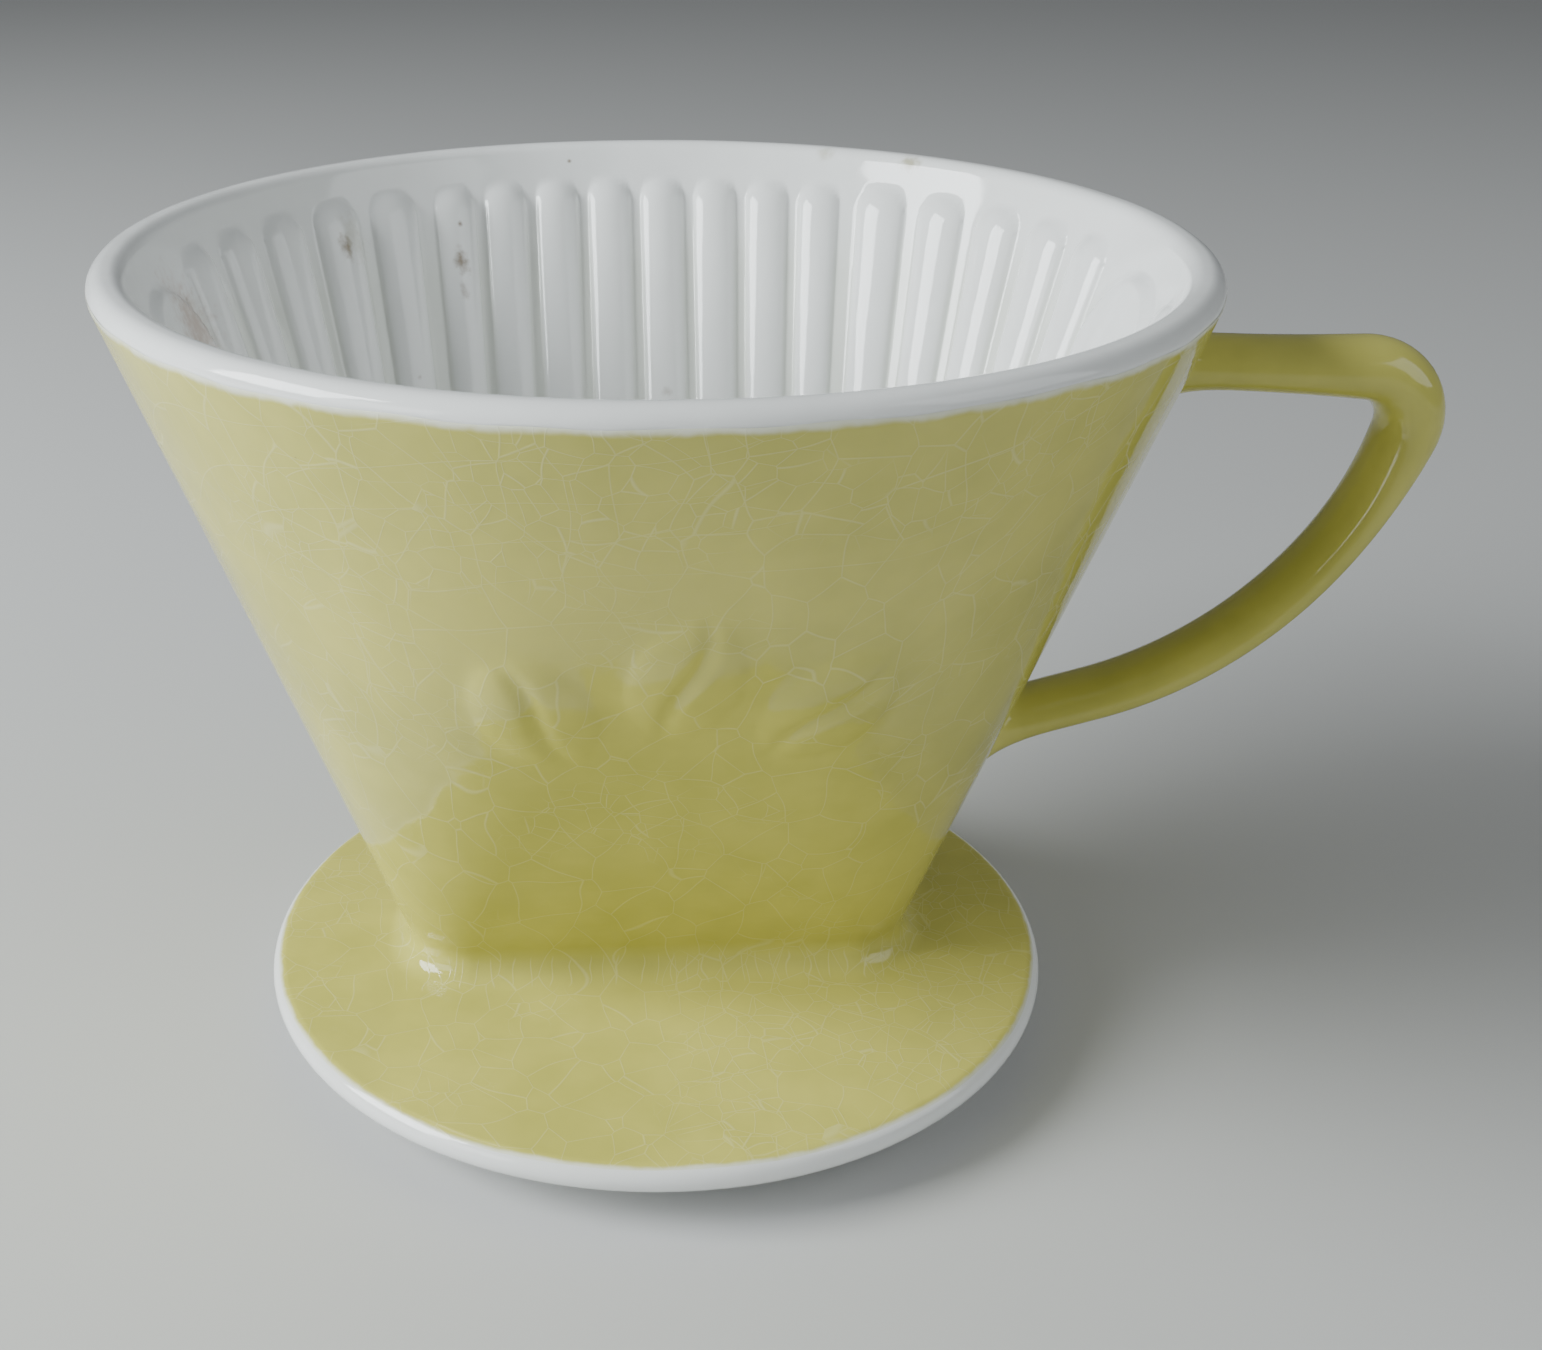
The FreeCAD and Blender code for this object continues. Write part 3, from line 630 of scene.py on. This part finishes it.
def coat_columns():
    """Columns along the ruled wall's own straight lines: sides, then corner angles."""
    long_side = np.linspace(0, 1, 29)
    corner = np.linspace(0, np.pi / 2, 111)[1:]
    short_side = np.linspace(1, 0, 8)[1:]
    on_long = np.concatenate([long_side, 1 + 0 * corner, 1 + 0 * short_side])
    turn = np.pi / 2 - np.concatenate([0 * long_side, corner, np.pi / 2 + 0 * short_side])
    on_short = np.concatenate([1 + 0 * long_side, 1 + 0 * corner, short_side])
    index, signs = full_turn(np.arange(len(turn)))
    return (on_long[index], on_short[index], turn[index]), signs


coat_place, coat_signs = coat_columns()


def land_outline(height, reach):
    """The coat's outline on the saucer, a rounded rectangle round the foot."""
    row = wall_points(OUTSIDE, foot_level + 0 * coat_place[2], coat_place, coat_signs, reach)
    row[..., 2] = height
    return row[None]


BEANS = ((-14.5, 60.0, 28), (0.8, 65.0, -10), (16.0, 60.0, -38))   # x, z in mm, tilt in degrees
bean_half_width = 6.0 * MM
bean_half_length = 8.8 * MM
bean_height = 1.15 * MM


def bean_relief(points):
    """Three coffee beans raised softly on the front: flat ellipsoids with a curved groove."""
    x = points[..., 0]
    z = points[..., 2]
    relief = np.zeros_like(x)
    for middle_x, middle_z, tilt in BEANS:
        a = np.radians(tilt)
        u = (x - middle_x * MM) * np.cos(a) + (z - middle_z * MM) * np.sin(a)
        v = -(x - middle_x * MM) * np.sin(a) + (z - middle_z * MM) * np.cos(a)
        dome = 1 - (u / bean_half_width) ** 2 - (v / bean_half_length) ** 2
        height = np.maximum(0.5 * (dome + np.sqrt(dome ** 2 + 0.012)) - 0.006, 0)
        groove = np.exp(-((u - 1.0 * MM * np.sin(v / (3.4 * MM))) / (1.0 * MM)) ** 2)
        height = height ** 0.55 * (1 - 0.65 * groove)
        relief = np.maximum(relief, np.where(dome > -0.6, height, 0))
    relief = np.where(points[..., 1] < 0, relief, 0)
    return bean_height * relief


coat_lip_rows = 9
coat_wall_rows = 116
coat_inner_step = 12               # the coat's hidden side keeps one wall row in this many


def coat_rows():
    """Heights and growths of the coat, from its edge on the lip down to the land."""
    turn = coat_place[2]
    edge = edge_height(turn, coat_signs)
    lean = wall_lean(OUTSIDE, turn)
    slope = np.arctan(lean)
    reach = lip_round / np.tan((np.pi / 2 - slope) / 2)
    low = np.arcsin(-np.sin(slope))
    high = np.arcsin(np.clip((edge - rim_level + lip_round) / lip_round, -1, 1))
    step = np.linspace(0, 1, coat_lip_rows)[:, None] ** 1.3
    phi = high[None, :] + (low - high)[None, :] * step
    lip_z = rim_level - lip_round + lip_round * np.sin(phi)
    lip_grow = -reach + lip_round * np.cos(phi) + lean * (rim_level - lip_z)
    foot_z, foot_grow = foot_outside(turn, 12)
    step = np.linspace(0, 1, coat_wall_rows + 2)[1:-1, None]
    plain = lip_z[-1] * (1 - step) + foot_z[0] * step
    z = np.concatenate([lip_z, plain, foot_z])
    grow = np.concatenate([lip_grow, 0 * plain, foot_grow])
    return z, grow, edge


def funnel_coat(material):
    """The coat as a closed skin: down its hidden side, and back up its glossy outside.

    The hidden side lies in by the coat's depth, and meets the outside at the edge.
    """
    z, grow, edge = coat_rows()
    outer = wall_points(OUTSIDE, z, coat_place, coat_signs, grow)
    relief = bean_relief(outer)
    outer = wall_points(OUTSIDE, z, coat_place, coat_signs, grow + relief)
    down = edge - z
    outer[0] = wall_points(OUTSIDE, z[0], coat_place, coat_signs, grow[0] - clay_gap)
    wall_end = coat_lip_rows + coat_wall_rows
    keep = np.concatenate([np.arange(coat_lip_rows),
                           np.arange(coat_lip_rows, wall_end - 1, coat_inner_step),
                           np.arange(wall_end, len(z))])
    sink = coat_fall(down[keep])
    level = np.clip((z[keep] - foot_level) / foot_fillet, 0, 1)
    inner = wall_points(OUTSIDE, z[keep], coat_place, coat_signs, grow[keep] - sink * level)
    inner[..., 2] -= sink * (1 - level)
    inner[0] = outer[0]
    land = land_outline(foot_level, land_reach)
    under = land_outline(foot_level - glaze_depth, land_reach)
    skin = np.concatenate([inner, under, land, outer[::-1]])
    far = 50 * MM
    edge_distance = np.concatenate([
        down[keep], 0 * under[..., 0] + far, 0 * land[..., 0] + far, down[::-1]])
    faces = loop_faces(len(skin), skin.shape[1])
    return build("funnel_coat", [skin], [faces], material,
                 {"edge_distance": edge_distance / MM, "crazed": 0 * edge_distance + 1})


def hairline(tree, field, spacing, width):
    """Lines where a field of length passes each multiple of a spacing, soft to their width."""
    turn = calc(tree, "FRACT", calc(tree, "DIVIDE", field, spacing))
    off = calc(tree, "ABSOLUTE", calc(tree, "SUBTRACT", turn, 0.5))
    return fade_in(tree, calc(tree, "MULTIPLY", off, spacing), width, 0.0)


def cracks(tree, place, size, width):
    """Borders of an irregular cell pattern whose cells are about size across."""
    cells = tree.nodes.new("ShaderNodeTexVoronoi")
    cells.feature = "DISTANCE_TO_EDGE"
    wire(tree, place, cells.inputs["Vector"])
    cells.inputs["Scale"].default_value = 1 / size
    return fade_in(tree, cells.outputs["Distance"], width / size, 0.0)


def crazing(tree, place):
    """Craze lines: tall cells everywhere, fine ones in patches, long arcs, and foot ticks."""
    bend = shift(tree, "MULTIPLY", cloud(tree, place, 26 * MM)[1], [9 * MM] * 3)
    bent = shift(tree, "ADD", place, bend)
    tall = shift(tree, "MULTIPLY", bent, [1.0, 1.0, 0.5])
    loose = calc(tree, "MULTIPLY", cracks(tree, tall, 5.5 * MM, 0.10 * MM), 0.85)
    patch = fade_in(tree, cloud(tree, place, 22 * MM)[0], 0.48, 0.60)
    fine = calc(tree, "MULTIPLY", cracks(tree, bent, 3.4 * MM, 0.08 * MM), patch)
    axes = tree.nodes.new("ShaderNodeSeparateXYZ")
    wire(tree, place, axes.inputs[0])
    height = axes.outputs["Z"]
    drift = calc(tree, "MULTIPLY", cloud(tree, place, 60 * MM, 1.0)[0], 55 * MM)
    slant = calc(tree, "MULTIPLY_ADD", axes.outputs["X"], -0.22, height)
    arcs = hairline(tree, calc(tree, "ADD", slant, drift), 7.5 * MM, 0.11 * MM)
    upper = fade_in(tree, height, 62 * MM, 78 * MM)
    broken = fade_in(tree, cloud(tree, place, 16 * MM)[0], 0.40, 0.52)
    arcs = calc(tree, "MULTIPLY", calc(tree, "MULTIPLY", arcs, upper), broken)
    jitter = calc(tree, "MULTIPLY", cloud(tree, place, 5 * MM, 1.0)[0], 4 * MM)
    ticks = hairline(tree, calc(tree, "ADD", axes.outputs["X"], jitter), 2.2 * MM, 0.13 * MM)
    near_foot = (fade_in(tree, height, 12.6 * MM, 11.4 * MM),
                 fade_in(tree, calc(tree, "ABSOLUTE", axes.outputs["X"]), 35 * MM, 31 * MM),
                 fade_in(tree, calc(tree, "ABSOLUTE", axes.outputs["Y"]), 14.6 * MM, 13.2 * MM))
    for limit in near_foot:
        ticks = calc(tree, "MULTIPLY", ticks, limit)
    lines = calc(tree, "MAXIMUM", calc(tree, "MAXIMUM", loose, fine), arcs)
    return calc(tree, "MAXIMUM", lines, ticks)


YELLOW_DEEP = (0.52, 0.495, 0.11, 1)
YELLOW_PALE = (0.64, 0.60, 0.145, 1)
CRAZE_LINE = (0.86, 0.86, 0.50, 1)
THIN_EDGE = (0.80, 0.81, 0.66, 1)


def yellow_coat():
    """Pastel yellow gloss glaze: crazed, uneven in tone, and thin to white at its edge."""
    material = bpy.data.materials.new("yellow_glaze")
    material.use_nodes = True
    tree = material.node_tree
    shader = tree.nodes["Principled BSDF"]
    place = tree.nodes.new("ShaderNodeTexCoord").outputs["Object"]
    flow = placed(tree, glaze_flow, Place=place)
    colour = tint(tree, flow["Tone"], YELLOW_DEEP, YELLOW_PALE)
    lines = calc(tree, "MULTIPLY", crazing(tree, place), attribute(tree, "crazed"))
    colour = tint(tree, calc(tree, "MULTIPLY", lines, 0.27), colour, CRAZE_LINE)
    specks = placed(tree, kiln_specks, Place=place, Share=0.10)
    colour = tint(tree, calc(tree, "MULTIPLY", specks["Mask"], 0.7), colour, BROWN)
    away = attribute(tree, "edge_distance")
    wavering = calc(tree, "MULTIPLY_ADD", cloud(tree, place, 3 * MM)[0], -0.9, away)
    colour = tint(tree, fade_in(tree, wavering, 0.45, -0.45), colour, THIN_EDGE)
    wire(tree, colour, shader.inputs["Base Color"])
    rough = fade_in(tree, flow["Tone"], 0, 1, 0.06, 0.12)
    wire(tree, calc(tree, "MULTIPLY_ADD", lines, 0.12, rough), shader.inputs["Roughness"])
    height = calc(tree, "MULTIPLY_ADD", lines, 0.03, flow["Ripple"])
    wire(tree, bumped(tree, height, 0.45 * MM), shader.inputs["Normal"])
    return material


yellow = yellow_coat()
coat = funnel_coat(yellow)
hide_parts("funnel_glaze")


# ----------------------------------------------------------------------------------------
# Saucer: a white round plate under the funnel, jiggered and luted on, with a fully rounded
# edge.  Only the edge and the underside stay white; its top is under the yellow coat.

saucer_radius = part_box("saucer")[1][0]
saucer_depth = foot_level - ring_level
saucer_round = 1.85 * MM
saucer_flat = saucer_radius - saucer_round
saucer_middle = ring_level + saucer_depth / 2
saucer_bulge = saucer_depth / 2
edge_run = 0.6 * saucer_round      # about the way from the coat's end to the level top
edge_lean = 0.3                    # how far the thinning leans in from straight down
saucer_angle = np.arctan2(land_outline(foot_level, land_reach)[0, :, 1],
                          land_outline(foot_level, land_reach)[0, :, 0])
saucer_ray = np.stack([np.cos(saucer_angle), np.sin(saucer_angle), 0 * saucer_angle], axis=-1)


def saucer_edge(phi):
    """The rounded edge: a half ellipse from straight up, 90 degrees, to straight down."""
    radius = saucer_flat + saucer_round * np.cos(phi)
    z = saucer_middle + saucer_bulge * np.sin(phi)
    return radius, z


def ring_row(radius, z):
    """A row of points at a radius and height for each column."""
    row = saucer_ray * (radius + 0 * saucer_angle)[:, None]
    row[:, 2] = z
    return row[None]


def saucer_coat_end(angle):
    """Angle on the rounded edge where the yellow coat ends, a little uneven."""
    rng = np.random.default_rng(11)
    waves = sum(np.sin(k * angle + rng.uniform(0, 6.28)) for k in (2, 5, 9, 16))
    return np.radians(52) + 0.025 * waves


def saucer_mesh(material):
    """The plate as a closed skin: up the rounded edge, in over the top, and back under.

    Past the coat's end, its surface lies lower by the coat's depth.
    """
    end = saucer_coat_end(saucer_angle)
    rows = [ring_row(*saucer_edge(p)) for p in np.radians(np.linspace(-90, 20, 12))]
    for step in np.linspace(0, 1, 8)[1:]:
        radius, z = saucer_edge(np.radians(20) * (1 - step) + end * step)
        rows.append(ring_row(radius, z - clay_gap * step))
    for step in np.linspace(0, 1, 6)[1:]:
        radius, z = saucer_edge(end * (1 - step) + np.pi / 2 * step)
        fall = coat_fall(edge_run * step + 0 * end)
        rows.append(ring_row(radius - edge_lean * fall, z - fall - clay_gap))
    top = foot_level - glaze_depth - clay_gap
    rows.append(ring_row(saucer_flat - 2 * MM, top))
    rows.append(land_outline(top, land_reach))
    rows.append(land_outline(foot_level - land_depth, land_reach))
    rows.append(land_outline(foot_level - land_depth, 0.0))
    rows.append(land_outline(ring_level, 0.0))
    rows.append(rows[0])
    skin = np.concatenate(rows)
    faces = loop_faces(len(skin), skin.shape[1])
    return build("saucer_clay", [skin], [faces], material)


saucer = saucer_mesh(white)
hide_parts("saucer")


# ----------------------------------------------------------------------------------------
# Saucer glaze: the yellow coat on the saucer's top, one pour with the funnel's.  It stops
# unevenly where the edge rounds over.

def saucer_coat(material):
    """The coat as a closed skin: out over the top to its end on the edge, and back under."""
    end = saucer_coat_end(saucer_angle)
    land = land_outline(foot_level, land_reach)
    flat_edge = ring_row(saucer_flat, foot_level)
    outer = [land * (1 - s) + flat_edge * s for s in np.linspace(0, 1, 8)]
    outer += [ring_row(*saucer_edge(np.pi / 2 * (1 - s) + end * s))
              for s in np.linspace(0, 1, 9)[1:]]
    outer[-1][..., 2] -= clay_gap
    under = []
    for step in np.linspace(1, 0, 6)[1:]:
        radius, z = saucer_edge(np.pi / 2 * (1 - step) + end * step)
        fall = coat_fall(edge_run * (1 - step) + 0 * end)
        under.append(ring_row(radius - edge_lean * fall, z - fall))
    under.append(land_outline(foot_level - glaze_depth, land_reach))
    skin = np.concatenate(outer + under + [land])[::-1]
    radius = np.linalg.norm(skin[..., :2], axis=-1)
    end_radius = saucer_edge(end)[0]
    way_per_radius = 1.6
    depth = np.maximum(end_radius[None, :] - radius, 0) * way_per_radius
    faces = loop_faces(len(skin), skin.shape[1])
    return build("saucer_coat", [skin], [faces], material,
                 {"edge_distance": depth / MM, "crazed": 0 * depth + 1})


saucer_top = saucer_coat(yellow)
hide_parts("saucer_glaze")


# ----------------------------------------------------------------------------------------
# Centring ring: a white ring luted under the saucer, which drops into the pot's mouth.  Its
# lower edges are wiped round, and four notches let air out of the pot.

ring_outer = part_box("centring_ring")[1][0]
ring_inner = ring_outer - 3.6 * MM
ring_round = 1.0 * MM
ring_plain = 3.6 * MM              # above this height no notch reaches
notch_half = 3.5 * MM
notch_top = 3.0 * MM
notch_slope = 0.024                # angle in radians over which a notch's side rises


def centring_ring(material):
    """A rounded profile turned about Z, with its lower face lifted over each notch."""
    base = np.linspace(0, np.pi / 2, 37)[:-1]
    side = notch_half / ring_outer
    crowd = side + np.array([-0.06, -0.03, -0.012, 0, 0.012, 0.03, 0.06])
    quarter = np.unique(np.round(np.concatenate(
        [base, np.pi / 4 - crowd, np.pi / 4 + crowd]), 5))
    angle = np.concatenate([quarter + k * np.pi / 2 for k in range(4)])
    off = np.abs((angle % (np.pi / 2)) - np.pi / 4) - side
    lift = notch_top * np.clip(0.5 - off / notch_slope, 0, 1)
    lift = lift * lift * (3 * notch_top - 2 * lift) / notch_top ** 2
    bend = np.linspace(0, np.pi / 2, 7)
    outer_r = ring_outer - ring_round + ring_round * np.cos(bend)
    low_z = ring_round - ring_round * np.sin(bend)
    radii = np.concatenate([[ring_inner, ring_inner], (ring_inner + ring_outer - outer_r),
                            outer_r[::-1], [ring_outer, ring_outer]])
    heights = np.concatenate([[ring_level, ring_plain], low_z, low_z[::-1],
                              [ring_plain, ring_level]])
    lifted = heights[:, None] + lift[None, :] * (1 - heights / ring_plain).clip(0, 1)[:, None]
    grid = np.stack([radii[:, None] * np.cos(angle), radii[:, None] * np.sin(angle), lifted],
                    axis=-1)
    grid = np.concatenate([grid, grid[:1]])
    return build("centring_ring_clay", [grid], [loop_faces(len(grid), grid.shape[1])],
                 material)


ring = centring_ring(white)
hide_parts("centring_ring")


# ----------------------------------------------------------------------------------------
# Handle: a pulled strap of white clay, bent by hand and luted to the funnel's right side.
# A short strut leaves the wall, turns down in a tight bend, and bows back to the wall.

strut_start = np.array([52.0, 85.5]) * MM
strut_slope = np.radians(2.9)
strut_length = 31.9 * MM
bend_radius = 6.5 * MM
bend_turn = np.radians(104.0)
bow_radius = 50.0 * MM
bow_turn = np.radians(58.1)
tail_length = 18.0 * MM
handle_half_width = 5.0 * MM
strut_thickness = 6.3 * MM
bend_thickness = 7.9 * MM
bow_thickness = 5.7 * MM
root_flare = 2.6 * MM
ROUND = 48                         # points round the strap
root_rows = 12
shaft_rows = 110


def handle_axis(way):
    """The handle's axis in the XZ plane: x, z and heading at distances along it.

    A straight strut, an arc, a larger arc and a straight tail, each leaving the last one
    along its own heading.
    """
    heading = np.full_like(way, -strut_slope)
    x = strut_start[0] + np.minimum(way, strut_length) * np.cos(strut_slope)
    z = strut_start[1] - np.minimum(way, strut_length) * np.sin(strut_slope)
    rest = np.maximum(way - strut_length, 0)
    for radius, turn in ((bend_radius, bend_turn), (bow_radius, bow_turn)):
        done = np.minimum(rest / radius, turn)
        chord = 2 * radius * np.sin(done / 2)
        x = x + chord * np.cos(heading - done / 2)
        z = z + chord * np.sin(heading - done / 2)
        heading = heading - done
        rest = np.maximum(rest - radius * turn, 0)
    return x + rest * np.cos(heading), z + rest * np.sin(heading), heading


def handle_thickness(way):
    """Half thickness: thick in the bend, thinnest on the bow."""
    bend_length = bend_radius * bend_turn
    middle = strut_length + bend_length / 2
    past = 1 / (1 + np.exp((middle - way) / (3 * MM)))
    near = np.exp(-((way - middle) / bend_length) ** 2)
    plain = strut_thickness * (1 - past) + bow_thickness * past
    return (plain * (1 - near) + bend_thickness * near) / 2


def handle_points(way, inset):
    """Points round the handle at distances along it: an ellipse across the axis."""
    x, z, heading = handle_axis(way)
    around = np.linspace(0, 2 * np.pi, ROUND, endpoint=False)
    thick = (handle_thickness(way) - inset)[:, None] * np.cos(around)
    wide = (handle_half_width - inset) * np.sin(around)
    px = x[:, None] - np.sin(heading)[:, None] * thick
    pz = z[:, None] + np.cos(heading)[:, None] * thick
    py = 0 * px - wide[None, :]
    return np.stack([px, py, pz], axis=-1)


def wall_x(y, z, inset):
    """x of the funnel's right side at a y and z, drawn in by inset."""
    radius, long_side, short_side = section_sizes(OUTSIDE, share_at(OUTSIDE, z))
    radius = radius - inset
    beyond = np.maximum(np.abs(y) - short_side, 0)
    return long_side + np.sqrt(np.maximum(radius ** 2 - beyond ** 2, 0))


def root(way_out, way_in, flare, inset, sink):
    """Rows from the handle's surface at way_out down its flared root onto the wall.

    Each column runs straight to the wall along the handle; a quadratic curve then leaves it
    before that corner and lands flare away from it, flat on the wall.  The corner is found
    by halving the straight way 30 times.
    """
    start = handle_points(np.array([way_out]), inset)[0]
    end = handle_points(np.array([way_in]), inset)[0]
    low = np.zeros(ROUND)
    high = np.ones(ROUND)
    for _ in range(30):
        mid = (low + high) / 2
        point = start + (end - start) * mid[:, None]
        outside = point[:, 0] > wall_x(point[:, 1], point[:, 2], inset)
        low = np.where(outside, mid, low)
        high = np.where(outside, high, mid)
    flare = np.broadcast_to(flare, ROUND)
    corner = start + (end - start) * low[:, None]
    centre = corner.mean(axis=0)
    away = corner - centre
    away = away / np.linalg.norm(away, axis=1)[:, None]
    length = np.linalg.norm(corner - start, axis=1)
    leave = corner + (start - corner) * (np.minimum(flare * 2.0, length) / length)[:, None]
    land = corner + away * flare[:, None]
    land[:, 0] = wall_x(land[:, 1], land[:, 2], inset + sink)
    t = np.linspace(0, 1, root_rows)[:, None, None]
    return (1 - t) ** 2 * leave + 2 * t * (1 - t) * corner + t ** 2 * land


whole_way = strut_length + bend_radius * bend_turn + bow_radius * bow_turn + tail_length
upper_out = 17.0 * MM
lower_out = whole_way - 16.5 * MM


def handle_skin(inset, sink):
    """The whole handle's surface, from its upper root on the wall to its lower one.

    Both roots flare most on their undersides.
    """
    facing = np.cos(np.linspace(0, 2 * np.pi, ROUND, endpoint=False))
    strut_flare = root_flare * (1 + 1.1 * np.maximum(0, -facing))
    tail_flare = root_flare * (1.2 + 0.9 * np.maximum(0, facing))
    upper = root(upper_out, 1 * MM, strut_flare, inset, sink)[::-1]
    way = np.linspace(upper_out, lower_out, shaft_rows)
    shaft = handle_points(way, inset)[1:-1]
    lower = root(lower_out, whole_way, tail_flare, inset, sink)
    return np.concatenate([upper, shaft, lower])


def capped(rows):
    """Closes a tube's ends with points at their middles."""
    first = np.repeat(rows[0].mean(axis=0)[None, None], ROUND, axis=1)
    last = np.repeat(rows[-1].mean(axis=0)[None, None], ROUND, axis=1)
    return np.concatenate([first, rows, last])


def handle_clay(material):
    """The strap itself, drawn in by the coat's depth and closed at both ends."""
    rows = capped(handle_skin(glaze_depth + clay_gap, 0.0))
    return build("handle_clay", [rows], [loop_faces(len(rows), ROUND)],
                 material)


handle = handle_clay(white)
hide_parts("handle")


# ----------------------------------------------------------------------------------------
# Handle glaze: the yellow coat on the handle, which runs into the funnel's at both roots.

def handle_coat(material):
    """A closed sleeve: along the handle's outside, and back along a coarser inside."""
    outer = handle_skin(0.0, 0.05 * MM)
    inner = handle_skin(glaze_depth, 0.0)[::4]
    rows = np.concatenate([outer, inner[::-1], outer[:1]])
    far = np.full(rows.shape[:2], 50 * MM)
    return build("handle_coat", [rows], [loop_faces(len(rows), ROUND)],
                 material, {"edge_distance": far / MM})


handle_top = handle_coat(yellow)
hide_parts("handle_glaze")


# ----------------------------------------------------------------------------------------
# Studio: a plain pale floor under three soft lamps.  The window is high on the left, the
# low window lights the saucer from the front left, and a weak fill is on the right.

def pale_floor():
    """A square of matt floor at the height the dripper stands on."""
    mesh = bpy.data.meshes.new("floor")
    reach = 3.0
    mesh.from_pydata([(-reach, -reach, 0), (reach, -reach, 0), (reach, reach, 0),
                      (-reach, reach, 0)], [], [(0, 1, 2, 3)])
    material = bpy.data.materials.new("pale_floor")
    material.use_nodes = True
    shader = material.node_tree.nodes["Principled BSDF"]
    shader.inputs["Base Color"].default_value = (0.60, 0.60, 0.59, 1)
    shader.inputs["Roughness"].default_value = 0.7
    mesh.materials.append(material)
    piece = bpy.data.objects.new("floor", mesh)
    bpy.context.scene.collection.objects.link(piece)


def softbox(name, place, target, size, power):
    """A square area light of a size in metres at a place, facing a target."""
    light = bpy.data.lights.new(name, "AREA")
    light.size = size
    light.energy = power
    light.color = (0.93, 0.98, 1.0)
    piece = bpy.data.objects.new(name, light)
    piece.location = place
    piece.rotation_euler = (Vector(target) - Vector(place)).to_track_quat("-Z", "Y").to_euler()
    bpy.context.scene.collection.objects.link(piece)


def studio_world():
    """Even, faintly blue light from all round."""
    world = bpy.data.worlds.new("studio")
    world.use_nodes = True
    background = world.node_tree.nodes["Background"]
    background.inputs["Color"].default_value = (0.86, 0.89, 0.92, 1)
    background.inputs["Strength"].default_value = 0.16
    bpy.context.scene.world = world


def studio_camera():
    """A camera in front and above the rim, looking down into the funnel."""
    camera = bpy.data.cameras.new("camera")
    camera.sensor_width = 36
    camera.lens = 45.69
    camera.shift_x = 0.0746
    piece = bpy.data.objects.new("camera", camera)
    piece.location = (-11.5 * MM, -219.2 * MM, 150.8 * MM)
    piece.rotation_euler = (np.radians(64.4), 0, np.radians(-3.0))
    bpy.context.scene.collection.objects.link(piece)
    bpy.context.scene.camera = piece


pale_floor()
softbox("window", place=(-0.75, -0.14, 0.48), target=(0, 0, 0.06), size=0.45, power=13.5)
softbox("low_window", place=(-0.52, -0.40, 0.24), target=(0, 0, 0.03), size=0.3, power=1.2)
softbox("fill", place=(0.75, -0.30, 0.50), target=(0.05, 0, 0.06), size=0.6, power=2.4)
studio_world()
studio_camera()
